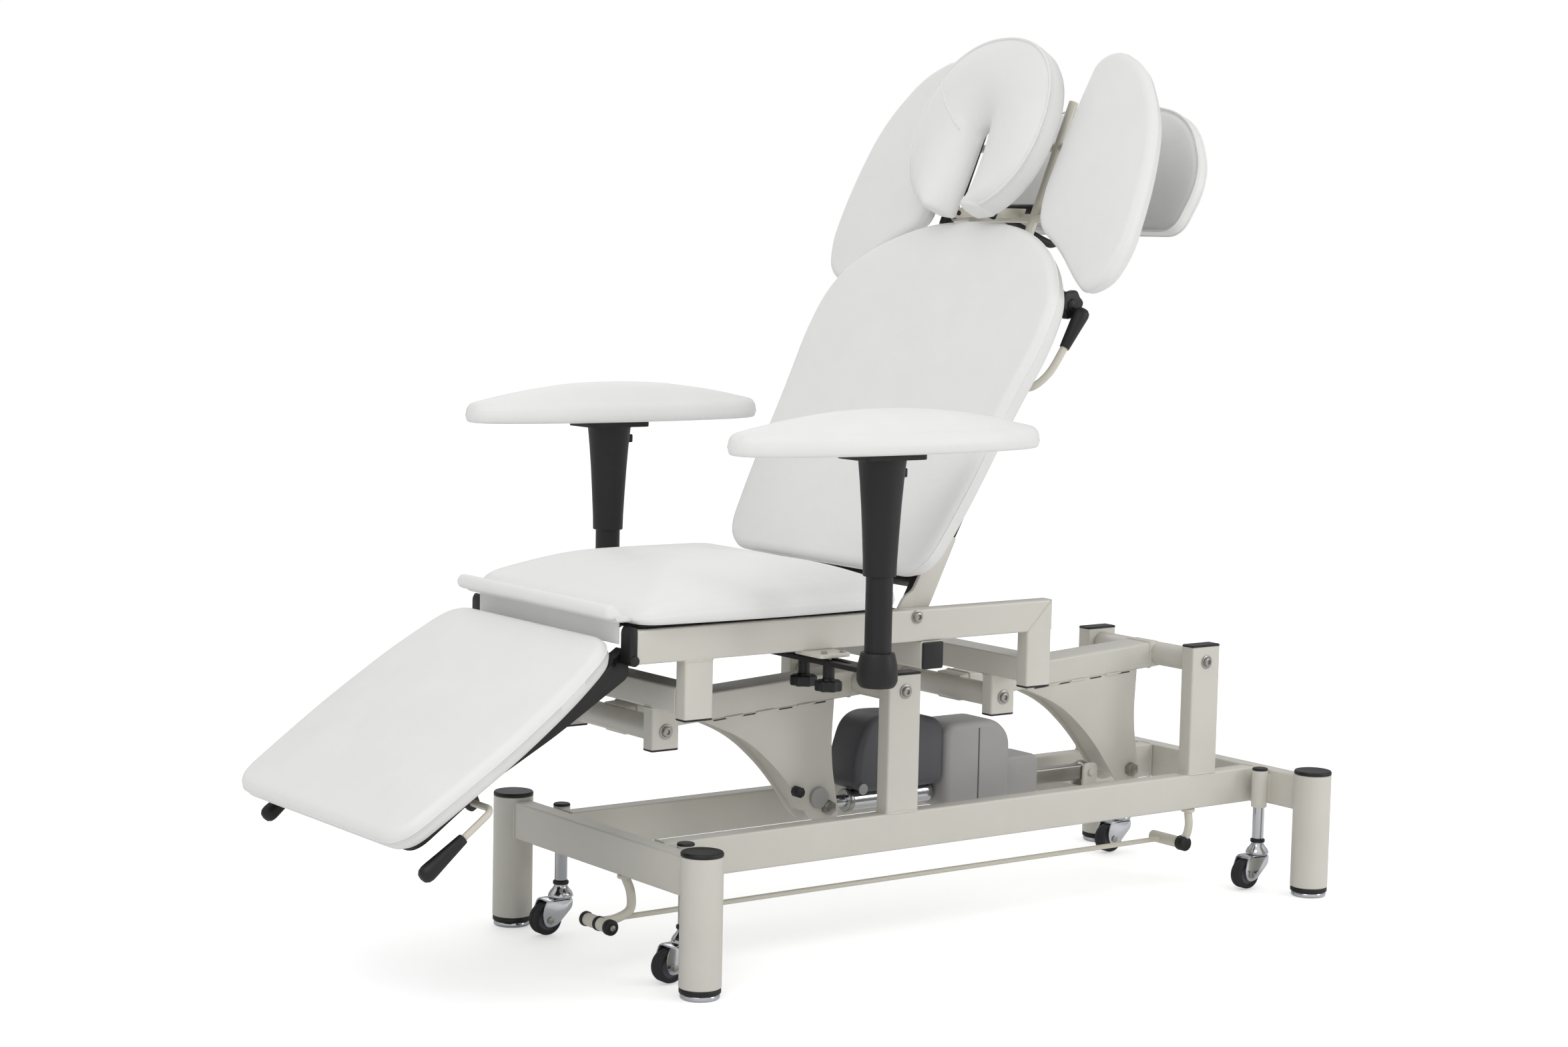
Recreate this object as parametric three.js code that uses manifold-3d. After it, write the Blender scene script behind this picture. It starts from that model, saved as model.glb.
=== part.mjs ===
// Treatment couch with a parallelogram lift, a drop leg section, a reclining back,
// a head section with face cushion and wings, and two armrests. Millimetres, +Z up.
// X runs from the foot end to the head end, and the couch is symmetric about Y = 0.
import * as THREE from 'three';
import { mergeVertices } from 'three/addons/utils/BufferGeometryUtils.js';
import Module from 'manifold-3d';

const wasm = await Module();
wasm.setup();

// Driving dimensions
const originX = 403.1; // from the foot legs' axis to the middle of the couch
const gap = 0.3; // between pieces that touch
const base = { length: 1270, legY: 265, legR: 31.75, legTop: 210, legBottom: 16, railLow: 145, railHigh: 205,
  railIn: 115, railOut: 145, crossHalf: 15 };
const post = { width: 64, top: 424, inner: 117, outer: 145 };
const lift = { footX: 467.5, headX: 1125.5, z: 398, arm: 450, rest: 3.37, beamWide: 60, beamHigh: 44,
  tubeR: 20.5, tubeHalf: 116.6, topTubeR: 19, topTubeHalf: 112.2, shaftR: 8, holeR: 9, boltR: 11, boltHigh: 6.5,
  hornOuter: 30, hornThick: 6, pinX: -73.7, pinZ: -194, pinR: 6 };
const caster = { x: 33.7, y: 173.5, sleeveR: 13.5, sleeveLow: 141, bore: 10.4, stemR: 10, wheelR: 25, axleZ: 26.5,
  trail: 28, wheelHalf: 11, forkIn: 13.5, forkThick: 2.5, axleR: 4 };
const actuator = { rearX: 985, z: 200, reach: 579.5, tubeR: 17, rodR: 10, eyeR: 17, eyeBore: 10.5 };
const seat = { railIn: 198, railOut: 224, railLow: 490, railHigh: 540, front: -91, rear: 699.6, stub: [-7, 43],
  elbow: [649.6, 699.6], low: 402.6, bracketIn: 112.6, bracketOut: 137.9, bracketLow: 344.8, pivotX: 18.2,
  pivotZ: 371.5 };
const leg = { x: -102, z: 505, drop: 34.2, top: 42.7, thick: 42, length: 455, leverX: -305, leverZ: -31 };
const back = { x: 422.6, z: 528.5, tilt: 61, padLow: 12.2, padHigh: 60, start: 48, leverX: 408, leverZ: -20 };
const head = { along: 560, behind: -20, lift: 6.5, faceBack: 72, faceFront: 134, faceMid: 257.6, faceLong: 149,
  faceWide: 154, wingBack: 18, wingFront: 58, shelfFront: -137, shelfBack: -175,
  shelfPivot: -24, shelfX: 172 };
const armrest = { x: 236, y: 365, barHalf: 18, barLow: 472, barHigh: 480, tubeR: 20, boreR: 20.5, padLow: 803,
  padHigh: 858, padMid: 247, padHalf: 290, padWide: 76 };
const gasSpring = { x: 505, z: 450, angle: 73.4, reach: 336.5, barrelR: 11, rodR: 5, bore: 5.5 };
const pedal = { rodY: -68, z: 80, rodR: 4, barR: 7 };

// Materials
const look = (color, roughness, metalness) => new THREE.MeshStandardMaterial({ color, roughness, metalness });
const powderCoat = () => look(0xd6d3c9, 0.45, 0.2);
const vinyl = () => look(0xf4f4f3, 0.5, 0);
const blackPlastic = () => look(0x1b1b21, 0.45, 0);
const blackSteel = () => look(0x17171a, 0.4, 0.3);
const chrome = () => look(0xc9cbcf, 0.15, 1);
const rubber = () => look(0x2a2b2e, 0.7, 0);
const paleGrey = () => look(0xa9a9a8, 0.5, 0);
const darkGrey = () => look(0x55565a, 0.5, 0);

// Solids
const axes = { x: 0, y: 1, z: 2 };
const rad = THREE.MathUtils.degToRad;

function toSolid(geometry) {
  const bare = geometry.clone();
  bare.deleteAttribute('normal');
  bare.deleteAttribute('uv');
  const merged = mergeVertices(bare, 1e-4);
  const vertProperties = new Float32Array(merged.attributes.position.array);
  const triVerts = new Uint32Array(merged.index.array);
  return new wasm.Manifold(new wasm.Mesh({ numProp: 3, vertProperties, triVerts }));
}

function toGeometry(solid) {
  const mesh = solid.getMesh();
  const geometry = new THREE.BufferGeometry();
  geometry.setAttribute('position', new THREE.BufferAttribute(new Float32Array(mesh.vertProperties), 3));
  geometry.setIndex(new THREE.BufferAttribute(new Uint32Array(mesh.triVerts), 1));
  geometry.computeVertexNormals();
  return geometry;
}

function join(...geometries) {
  const solids = geometries.map(toSolid);
  return toGeometry(solids.reduce((whole, next) => whole.add(next)));
}

function cut(geometry, ...tools) {
  return toGeometry(tools.map(toSolid).reduce((whole, tool) => whole.subtract(tool), toSolid(geometry)));
}

// A shape's local Z goes to the named axis, and its X and Y to the next two in turn.
function alongAxis(geometry, axis) {
  const k = axes[axis];
  const unit = (i) => new THREE.Vector3().setComponent(i % 3, 1);
  return geometry.applyMatrix4(new THREE.Matrix4().makeBasis(unit(k + 1), unit(k + 2), unit(k)));
}

// Outline through [x, y, radius] corners; a radius never takes more than half of an edge.
function roundedShape(corners) {
  const shape = new THREE.Shape();
  const points = corners.map(([x, y]) => new THREE.Vector2(x, y));
  corners.forEach(([x, y, radius], i) => {
    const toBefore = points[(i + points.length - 1) % points.length].clone().sub(points[i]);
    const toAfter = points[(i + 1) % points.length].clone().sub(points[i]);
    const reach = Math.min(radius, 0.48 * toBefore.length(), 0.48 * toAfter.length());
    const start = points[i].clone().add(toBefore.setLength(reach));
    const end = points[i].clone().add(toAfter.setLength(reach));
    if (i === 0) shape.moveTo(start.x, start.y);
    else shape.lineTo(start.x, start.y);
    shape.quadraticCurveTo(x, y, end.x, end.y);
  });
  shape.closePath();
  return shape;
}

// A mirrored outline from its points on the +Y side, listed from one end to the other.
const mirrored = (half) => [...half, ...half.map(([x, y, r]) => [x, -y, r]).reverse()].reverse();

// Rectangular tube between two corners, its long edges rounded, running along the named axis.
function tube(axis, low, high, radius = 3) {
  const k = axes[axis];
  const [a, b] = [(k + 1) % 3, (k + 2) % 3];
  const corners = [[low[a], low[b]], [high[a], low[b]], [high[a], high[b]], [low[a], high[b]]];
  const shape = roundedShape(corners.map(([x, y]) => [x, y, radius]));
  const options = { depth: high[k] - low[k], bevelEnabled: false, curveSegments: 1 };
  const geometry = new THREE.ExtrudeGeometry(shape, options).translate(0, 0, low[k]);
  return alongAxis(geometry, axis);
}

// Round bar along the named axis; centre holds the other two coordinates in turn.
function round(axis, low, high, centre, radius, sides = 10) {
  const geometry = new THREE.CylinderGeometry(radius, radius, high - low, sides).rotateX(Math.PI / 2);
  geometry.translate(centre[0], centre[1], (low + high) / 2);
  return alongAxis(geometry, axis);
}

// Bent rod through the given points
function bentRod(points, radius, steps) {
  const path = new THREE.CatmullRomCurve3(points.map((p) => new THREE.Vector3(...p)), false, 'centripetal');
  const section = new THREE.Shape().absarc(0, 0, radius, 0, Math.PI * 2);
  return new THREE.ExtrudeGeometry(section, { extrudePath: path, steps, bevelEnabled: false, curveSegments: 3 });
}

// Upholstered pad: an outline in X and Y, between two heights, with softened edges
function pad(shape, low, high, soft = 9, curveSegments = 3) {
  const options = { depth: high - low - 2 * soft, bevelEnabled: true, bevelThickness: soft, bevelSize: soft,
    bevelOffset: -soft, bevelSegments: 1, curveSegments };
  return new THREE.ExtrudeGeometry(shape, options).translate(0, 0, low + soft);
}

function plate(axis, shape, low, high, curveSegments = 2) {
  const options = { depth: high - low, bevelEnabled: false, curveSegments };
  return alongAxis(new THREE.ExtrudeGeometry(shape, options).translate(0, 0, low), axis);
}

// An outline given in X and Z, for a plate that lies across Y
const sidePlate = (corners, low, high) => plate('y', roundedShape(corners.map(([x, z, r]) => [z, x, r])), low, high);

const turned = (profile, sides = 12) => new THREE.LatheGeometry(
  profile.map(([r, h]) => new THREE.Vector2(r, h)), sides).rotateX(Math.PI / 2);

const couch = new THREE.Group();
const frame = new THREE.Group();
frame.position.x = -originX;
couch.add(frame);

function place(parent, name, geometry, material, position = [0, 0, 0]) {
  const mesh = new THREE.Mesh(geometry, material);
  mesh.name = name;
  mesh.position.set(...position);
  parent.add(mesh);
  return mesh;
}

function subFrame(parent, x, z, tiltDegrees) {
  const group = new THREE.Group();
  group.position.set(x, 0, z);
  group.rotation.y = -rad(tiltDegrees);
  parent.add(group);
  return group;
}

const sides = [['near', -1], ['far', 1]];
const ends = [['foot', 0, 1], ['head', base.length, -1]];
const span = (side, inner, outer) => (side < 0 ? [-outer, -inner] : [inner, outer]);

// Base: an end frame at each end, with two legs and two caster sleeves
function endFrame(inward) {
  const leg = turned([[0, 60], [6.5, 60], [6.5, base.legBottom], [base.legR, base.legBottom],
    [base.legR, base.legTop], [0, base.legTop]], 16);
  const sleeve = turned([[caster.bore, caster.sleeveLow], [caster.sleeveR, caster.sleeveLow],
    [caster.sleeveR, base.railHigh], [caster.bore, base.railHigh], [caster.bore, caster.sleeveLow]], 12);
  const cross = tube('y', [-base.crossHalf, -base.legY + 20, base.railLow],
    [base.crossHalf, base.legY - 20, base.railHigh]);
  const parts = sides.flatMap(([, side]) => [
    leg.clone().translate(0, side * base.legY, 0),
    sleeve.clone().translate(inward * caster.x, side * caster.y, 0),
    tube('z', [inward * 16 - 6.3, side * caster.y - 9, 150], [inward * 16 + 6.3, side * caster.y + 9, 198])]);
  return join(cross, ...parts);
}

for (const [end, x, inward] of ends) {
  place(frame, `${end}_end_frame`, endFrame(inward), powderCoat(), [x, 0, 0]);
  for (const [name, side] of sides) {
    const foot = turned([[0, 0], [28, 0], [29, 8], [30, 9], [30, 15.6], [6, 15.6], [6, 45], [0, 45]]);
    place(frame, `levelling_foot_${end}_${name}`, foot, chrome(), [x, side * base.legY, 0]);
  }
}

// Side rails, each with its two lift posts
for (const [name, side] of sides) {
  const start = base.crossHalf + gap;
  const [low, high] = span(side, base.railIn, base.railOut);
  const rail = tube('x', [start, low, base.railLow], [base.length - start, high, base.railHigh]);
  const [postLow, postHigh] = span(side, post.inner, post.outer);
  const posts = [lift.footX, lift.headX].map((x) => tube('z', [x - post.width / 2, postLow, base.railHigh - 2],
    [x + post.width / 2, postHigh, post.top]));
  const holes = [lift.footX, lift.headX].map((x) => round('y', postLow - 1, postHigh + 1, [lift.z, x], lift.holeR, 10));
  place(frame, `side_rail_${name}`, cut(join(rail, ...posts), ...holes), powderCoat());
}

// Casters: chrome stem, dome and fork, and a twin-tread wheel
function casterFork() {
  const stem = turned([[0, 58], [19, 58], [20, 63], [11, 76], [12.5, 84], [caster.stemR, 86],
    [caster.stemR, 190], [0, 190]], 10);
  const crown = tube('x', [-30, -caster.forkIn - caster.forkThick, 54], [13, caster.forkIn + caster.forkThick, 58.5], 1);
  const outline = [[13, 58, 3], [13, 46, 7], [-14, 17, 10], [-36, 15, 10], [-42, 36, 10], [-34, 58, 4]];
  const cheeks = sides.map(([, side]) => {
    const [low, high] = span(side, caster.forkIn, caster.forkIn + caster.forkThick);
    return sidePlate(outline, low, high);
  });
  const axleHalf = caster.forkIn + caster.forkThick + 3;
  const axle = round('y', -axleHalf, axleHalf, [caster.axleZ, -caster.trail], caster.axleR, 8);
  return join(stem, crown, axle, ...cheeks);
}

function casterWheel() {
  const bore = caster.axleR + 0.6;
  const r = caster.wheelR;
  const h = caster.wheelHalf;
  const profile = [[bore, -h], [r - 4, -h], [r, 4 - h], [r, h - 4], [r - 4, h], [bore, h], [bore, -h]];
  return turned(profile, 16).rotateX(Math.PI / 2);
}

for (const [end, x, inward] of ends) {
  for (const [name, side] of sides) {
    const at = [x + inward * caster.x, side * caster.y, 0];
    place(frame, `caster_fork_${end}_${name}`, casterFork(), chrome(), at);
    place(frame, `caster_wheel_${end}_${name}`, casterWheel(), rubber(),
      [at[0] - caster.trail, at[1], caster.axleZ]);
  }
}

// Actuator anchor: a tube between the side rails with two lugs and a pin
function actuatorAnchor() {
  const half = base.railIn - gap;
  const cross = tube('y', [-17, -half, 148], [17, half, 176]);
  const lugs = sides.map(([, side]) => {
    const [low, high] = span(side, 11, 16);
    return sidePlate([[-16, 174, 1], [-16, 216, 10], [16, 216, 10], [16, 174, 1]], low, high);
  });
  return join(cross, ...lugs, round('y', -20, 20, [actuator.z, 0], 6, 8));
}
place(frame, 'actuator_anchor', actuatorAnchor(), powderCoat(), [actuator.rearX, 0, 0]);

// Lift arm: two pivot tubes with their bolts, a box beam, and two horn plates with a pin
function liftArm() {
  const pivot = (x, tubeR, half, outer) => [
    round('y', -half, half, [0, x], tubeR, 12),
    round('y', -outer - 1, outer + 1, [0, x], lift.shaftR, 8),
    round('y', -outer - lift.boltHigh, -outer - 0.4, [0, x], lift.boltR, 8),
    round('y', outer + 0.4, outer + lift.boltHigh, [0, x], lift.boltR, 8)];
  const beam = tube('x', [-lift.arm, -lift.beamWide / 2, -lift.beamHigh / 2],
    [0, lift.beamWide / 2, lift.beamHigh / 2], 4);
  const outline = [[-306, -6, 0.5], [-306, -22, 0.5], [-226, -62, 30], [-160, -128, 30], [-106, -206, 14], [-82, -224, 14],
    [-44, -216, 12], [-64, -110, 60], [-52, -20, 0.5], [-52, -6, 0.5]];
  const horns = sides.map(([, side]) => {
    const [low, high] = span(side, lift.hornOuter - lift.hornThick, lift.hornOuter);
    return sidePlate(outline, low, high);
  });
  const pin = round('y', -42, 42, [lift.pinZ, lift.pinX], lift.pinR, 8);
  const nuts = sides.map(([, side]) => {
    const [low, high] = span(side, 29, 41);
    return round('y', low, high, [lift.pinZ, lift.pinX], 13, 10);
  });
  return join(beam, ...pivot(0, lift.tubeR, lift.tubeHalf, post.outer),
    ...pivot(-lift.arm, lift.topTubeR, lift.topTubeHalf, seat.bracketOut), ...horns, pin, ...nuts);
}
for (const [end, x] of [['foot', lift.footX], ['head', lift.headX]]) {
  const arm = subFrame(frame, x, lift.z, lift.rest);
  place(arm, `lift_arm_${end}`, liftArm(), powderCoat());
}

// Linear actuator, drawn from its rear pivot towards the foot end
const drive = subFrame(frame, actuator.rearX, actuator.z, 0);
function actuatorGearbox() {
  const eye = cut(round('y', -10, 10, [0, 0], 15, 12), round('y', -11, 11, [0, 0], 6.5, 10));
  const bar = tube('x', [-140, -10, -13], [-12, 10, 13]);
  const endBlock = tube('x', [-206, -32, -30], [-132, 32, 50], 8);
  const gearbox = tube('x', [-346, -42, -28], [-204, 42, 115], 14);
  return join(eye, bar, endBlock, gearbox);
}
place(drive, 'actuator_gearbox', actuatorGearbox(), paleGrey());
const housingShape = [[18, -525, 6], [18, -347, 2], [125, -347, 10], [140, -440, 20], [140, -512, 16], [60, -528, 60]];
const housing = plate('y', roundedShape(housingShape), -40, 40);
place(drive, 'actuator_housing', housing, darkGrey());
const tubeRing = [[actuator.rodR + 0.5, 0], [actuator.tubeR, 0], [actuator.tubeR, 177], [actuator.rodR + 0.5, 177],
  [actuator.rodR + 0.5, 0]];
place(drive, 'actuator_tube', turned(tubeRing, 16).rotateY(Math.PI / 2), chrome(), [-347 - 177 + gap, 0, 0]);
const rodEye = cut(
  join(round('x', -actuator.reach + 12, -400, [0, 0], actuator.rodR, 12),
    round('y', -9, 9, [0, -actuator.reach], actuator.eyeR, 12)),
  round('y', -12, 12, [0, -actuator.reach], actuator.eyeBore, 12));
place(drive, 'actuator_rod', rodEye, chrome());

// Foot-control bar: a long rod with a hanger and a pedal at each end
function footBar() {
  const rodLength = [-10, 1108];
  const rod = round('x', ...rodLength, [pedal.rodY, pedal.z], pedal.rodR, 8);
  const footHanger = bentRod([[0, -62, 141], [4, -72, 118], [2, -74, 92], [-22, -73, 81], [-59, -74, pedal.z]],
    pedal.barR, 8);
  const headHanger = bentRod([[1109, -130, 141], [1114, -128, 112], [1116, -118, 90], [1117, -92, pedal.z]],
    pedal.barR, 8);
  const pedals = [[-59, -113, -44], [1112, -112, -40]].map(([x, low, high]) =>
    round('y', low, high, [pedal.z, x], 10.5, 10));
  const caps = [[-59, -119, -112], [1112, -126, -111]].map(([x, low, high]) =>
    round('y', low, high, [pedal.z, x], 12.5, 10));
  return join(rod, footHanger, headHanger, ...pedals, ...caps);
}
place(frame, 'foot_control_bar', footBar(), powderCoat());

// Seat frame: rails with a stub and an elbow, and three cross tubes
for (const [name, side] of sides) {
  const [low, high] = span(side, seat.railIn, seat.railOut);
  const rail = tube('x', [seat.front, low, seat.railLow], [seat.rear, high, seat.railHigh]);
  const drops = [seat.stub, seat.elbow].map(([from, to]) =>
    tube('z', [from, low, seat.low], [to, high, seat.railLow + 4]));
  const [plateLow, plateHigh] = span(side, seat.railIn + 2, 270);
  const clampPlate = tube('z', [armrest.x - 31, plateLow, 484], [armrest.x + 26, plateHigh, 490.5], 6);
  place(frame, `seat_rail_${name}`, join(rail, ...drops, clampPlate), powderCoat());
}

function pivotCross(x) {
  const half = seat.railIn - gap;
  const cross = tube('y', [x - 24, -half, 408], [x + 24, half, 448]);
  const brackets = sides.map(([, side]) => {
    const [low, high] = span(side, seat.bracketIn, seat.bracketOut);
    return tube('z', [x - 24.3, low, seat.bracketLow], [x + 24.3, high, 412]);
  });
  const hole = round('y', -140, 140, [seat.pivotZ, x], lift.holeR, 10);
  return cut(join(cross, ...brackets), hole);
}
place(frame, 'seat_cross_foot', pivotCross(seat.pivotX), powderCoat());
place(frame, 'seat_cross_head', pivotCross(seat.pivotX + lift.headX - lift.footX), powderCoat());

function springCross() {
  const cross = tube('y', [432, -seat.railOut, 447], [476, seat.railOut, seat.railLow - gap], 5);
  const lugs = sides.map(([, side]) => {
    const [low, high] = span(side, 13, 18);
    return sidePlate([[470, 452, 1], [470, 474, 1], [505, 468, 10], [519, 450, 12], [505, 438, 10]], low, high);
  });
  const pin = round('y', -18, 18, [gasSpring.z, gasSpring.x], 4, 8);
  return join(cross, ...lugs, pin);
}
place(frame, 'seat_cross_middle', springCross(), powderCoat());

const seatBoard = roundedShape(mirrored([[-85, 212, 20], [374, 212, 20]]));
place(frame, 'seat_board', plate('z', seatBoard, 540.4, 547, 2), blackSteel());
const seatOutline = roundedShape(mirrored([[-88, 236, 34], [150, 250, 100], [378, 240, 44]]));
place(frame, 'seat_cushion', pad(seatOutline, 547.4, 618, 14), vinyl());
const coverBead = round('y', -228, 228, [567, -128], 11, 12);
const coverTongue = tube('y', [-128, -226, 550.5], [-88.4, 226, 557.5], 2);
place(frame, 'hinge_cover', join(coverBead, coverTongue), vinyl());

// Leg section, drawn along its own plane from the hinge at the seat's front
const legSection = subFrame(frame, leg.x, leg.z, leg.drop);
const legOutline = roundedShape(mirrored([[-8, 228, 58], [-200, 270, 150], [-leg.length, 262, 46]]));
place(legSection, 'leg_cushion', pad(legOutline, leg.top - leg.thick, leg.top, 12), vinyl());

function legFrame() {
  const board = plate('z', roundedShape(mirrored([[-12, 205, 20], [-430, 228, 30]])), -9, 0.3, 2);
  const rails = sides.map(([, side]) => {
    const [low, high] = span(side, 170, 194);
    return sidePlate([[11, -11, 8], [11, 0, 3], [-330, 0, 2], [-330, -16, 4], [-150, -34, 20], [-6, -40, 12]],
      low, high);
  });
  const cross = [-60, -290].map((x) => tube('y', [x - 12, -180, -20], [x + 12, 180, -5]));
  const pivots = sides.map(([, side]) => {
    const [low, high] = span(side, 160, 197.4);
    return round('y', low, high, [-11, 0], 6, 8);
  });
  const leverTabs = sides.map(([, side]) => {
    const [low, high] = span(side, 176, 184);
    return sidePlate([[-288, -6, 2], [-296, -42, 6], [-314, -42, 6], [-322, -6, 2]], low, high);
  });
  const holes = round('y', -190, 190, [leg.leverZ, leg.leverX], 6, 10);
  return cut(join(board, ...rails, ...cross, ...pivots, ...leverTabs), holes);
}
place(legSection, 'leg_frame', legFrame(), blackSteel());

function releaseLever() {
  const z = leg.leverZ;
  const shaft = round('y', -225, 225, [z, leg.leverX], 5, 8);
  const arms = sides.map(([, side]) => bentRod([[-305, side * 220, z], [-305, side * 232, z], [-314, side * 240, z],
    [-340, side * 240, z - 1], [-372, side * 240, z - 3]], 5, 8));
  const grips = sides.map(([, side]) => turned([[0, 0], [7.5, 0], [12, 60], [13, 68], [9, 78], [0, 80]], 10)
    .rotateY(-Math.PI / 2).rotateY(rad(-3)).translate(-366, side * 240, z - 2.5));
  return join(shaft, ...arms, ...grips);
}
place(legSection, 'leg_release_lever', releaseLever(), powderCoat());

// Backrest, drawn along its own plane from its pivot
const backrest = subFrame(frame, back.x, back.z, back.tilt);
const backOutline = roundedShape(mirrored([[back.start, 256, 56], [430, 304, 190], [580, 296, 110], [668, 76, 130]]));
place(backrest, 'back_cushion', pad(backOutline, back.padLow, back.padHigh, 14, 4), vinyl());

function backFrame() {
  const board = plate('z', roundedShape(mirrored([[70, 186, 20], [590, 186, 70]])), -4, 11.8);
  const rails = sides.map(([, side]) => {
    const [low, high] = span(side, 165, 190);
    return tube('x', [24, low, -34], [590, high, -3]);
  });
  const hinges = sides.map(([, side]) => {
    const [low, high] = span(side, 189, 196.5);
    return sidePlate([[-18, -16, 14], [-18, 18, 14], [24, 16, 12], [40, 5, 6], [130, 5, 8], [150, -30, 8], [20, -36, 24]], low, high);
  });
  const cross = [[70, -30], [470, -34]].map(([x, z]) => tube('y', [x - 15, -170, z], [x + 15, 170, z + 25]));
  const pins = sides.map(([, side]) => {
    const [low, high] = span(side, 160, 197.6);
    return round('y', low, high, [0, 0], 7, 8);
  });
  const cheeks = sides.map(([, side]) => {
    const [low, high] = span(side, 16, 21);
    return sidePlate([[270, -3, 2], [286, -58, 12], [316, -58, 12], [330, -3, 2]], low, high);
  });
  const holes = [round('y', -230, 230, [head.behind, head.along], 10.5, 12),
    round('y', -200, -150, [back.leverZ, back.leverX], 7.5, 12)];
  return cut(join(board, ...rails, ...hinges, ...cross, ...pins, ...cheeks), ...holes);
}
place(backrest, 'back_frame', backFrame(), blackSteel());

function backLever() {
  const [x, z] = [back.leverX, back.leverZ];
  const rod = bentRod([[x, -120, z], [x, -190, z], [x + 2, -216, z], [x + 12, -240, z - 3], [x + 36, -248, z - 7],
    [494, -250, -30]], 6, 9);
  const grip = turned([[0, 0], [8, 0], [13, 50], [13.5, 58], [9, 68], [0, 70]], 10).rotateY(Math.PI / 2)
    .translate(490, -250, -30);
  return join(rod, grip, round('y', -155, -100, [z, x], 8, 10));
}
place(backrest, 'back_release_lever', backLever(), powderCoat());

// Gas spring from the seat frame to the back
const spring = subFrame(frame, gasSpring.x, gasSpring.z, gasSpring.angle);
const barrelRing = [[gasSpring.bore, 26], [gasSpring.barrelR, 20], [gasSpring.barrelR, 190], [gasSpring.bore, 190],
  [gasSpring.bore, 26]];
const barrelEye = cut(round('y', -10, 10, [0, 0], 10, 10), round('y', -11, 11, [0, 0], 4.5, 8));
const barrelNeck = round('x', 7, 27, [0, 0], 8, 8);
place(spring, 'gas_spring_barrel', join(barrelEye, barrelNeck, turned(barrelRing, 12).rotateY(Math.PI / 2)),
  blackPlastic());
const springEnd = round('y', -7, 7, [0, gasSpring.reach], 8, 10);
place(spring, 'gas_spring_rod', join(round('x', 150, gasSpring.reach, [0, 0], gasSpring.rodR, 8), springEnd), chrome());

// Head section, carried near the top of the back
const headSection = subFrame(backrest, head.along, head.behind, head.lift);
function headFrame() {
  const shaft = round('y', -212, 212, [0, 0], 9, 12);
  const uprights = sides.map(([, side]) => round('x', 0, 380, [side * 75, 0], 8, 8));
  const wingTubes = sides.map(([, side]) => round('x', 128, 290, [side * 140, 3], 8, 8));
  const cross = [146, 272].map((x) => round('y', -140, 140, [0, x], 7, 8));
  const faceLugs = sides.map(([, side]) => {
    const [low, high] = span(side, 40, 46);
    return sidePlate([[115, 71, 5], [150, -2, 6], [164, -2, 6], [134, 71, 5]], low, high);
  });
  const shelfLugs = sides.map(([, side]) => {
    const [low, high] = span(side, 92, 97);
    return sidePlate([[142, 4, 3], [160, head.shelfPivot - 12, 8], [184, head.shelfPivot - 12, 8], [166, 4, 3]],
      low, high);
  });
  const shelfPin = round('y', -99, 99, [head.shelfPivot, head.shelfX], 4, 8);
  const hole = round('y', -60, 60, [62, head.faceMid - 134], 5.4, 10);
  return cut(join(shaft, ...uprights, ...wingTubes, ...cross, ...faceLugs, ...shelfLugs, shelfPin), hole);
}
place(headSection, 'head_frame', headFrame(), powderCoat());
const knobProfile = [[0, 0], [10, 0], [12, 6], [24, 10], [24, 21], [20, 24], [0, 24]];
place(headSection, 'head_clamp_knob', turned(knobProfile, 12).rotateX(Math.PI / 2), blackPlastic(), [0, -212.4, 0]);

function superEllipse(longHalf, wideHalf, power, count) {
  const points = [];
  for (let i = 0; i < count; i += 1) {
    const [c, s] = [Math.cos((2 * Math.PI * i) / count), Math.sin((2 * Math.PI * i) / count)];
    points.push(new THREE.Vector2(Math.sign(c) * Math.abs(c) ** (2 / power) * longHalf,
      Math.sign(s) * Math.abs(s) ** (2 / power) * wideHalf));
  }
  return new THREE.Shape(points);
}

function faceCushion() {
  const whole = pad(superEllipse(head.faceLong, head.faceWide, 2.2, 28), head.faceBack, head.faceFront, 14);
  const slot = tube('z', [-head.faceLong - 5, -17, head.faceBack - 5], [8, 17, head.faceFront + 5], 12);
  return cut(whole, slot);
}
place(headSection, 'face_cushion', faceCushion(), vinyl(), [head.faceMid, 0, 0]);

function faceBracket() {
  const spine = tube('z', [20, -110, 66], [80, 110, head.faceBack - gap], 12);
  const wings = sides.map(([, side]) => {
    const [low, high] = span(side, 30, 95);
    return tube('z', [-108, low, 66], [30, high, head.faceBack - gap], 10);
  });
  const ears = sides.map(([, side]) => {
    const [low, high] = span(side, 47, 52);
    return sidePlate([[-144, 68, 2], [-144, 54, 8], [-124, 54, 8], [-100, 68, 2]], low, high);
  });
  const pins = sides.map(([, side]) => {
    const [low, high] = span(side, 38, 52);
    return round('y', low, high, [62, -134], 4, 8);
  });
  return join(spine, ...wings, ...ears, ...pins);
}
place(headSection, 'face_bracket', faceBracket(), blackPlastic(), [head.faceMid, 0, 0]);

// Wings: petal-shaped pads beside the face cushion
const wingOutline = [[419, 202, 24], [388, 272, 40], [300, 340, 50], [196, 366, 50], [80, 372, 50], [24, 352, 24],
  [2, 308, 22], [24, 276, 16], [70, 222, 26], [112, 152, 22], [168, 138, 30], [300, 146, 40], [402, 160, 24]];
for (const [name, side] of sides) {
  const corners = wingOutline.map(([x, y, r]) => [x, side * y, r]);
  const shape = roundedShape(side < 0 ? corners : corners.reverse());
  place(headSection, `wing_${name}`, pad(shape, head.wingBack, head.wingFront, 9, 3), vinyl());
}

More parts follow.
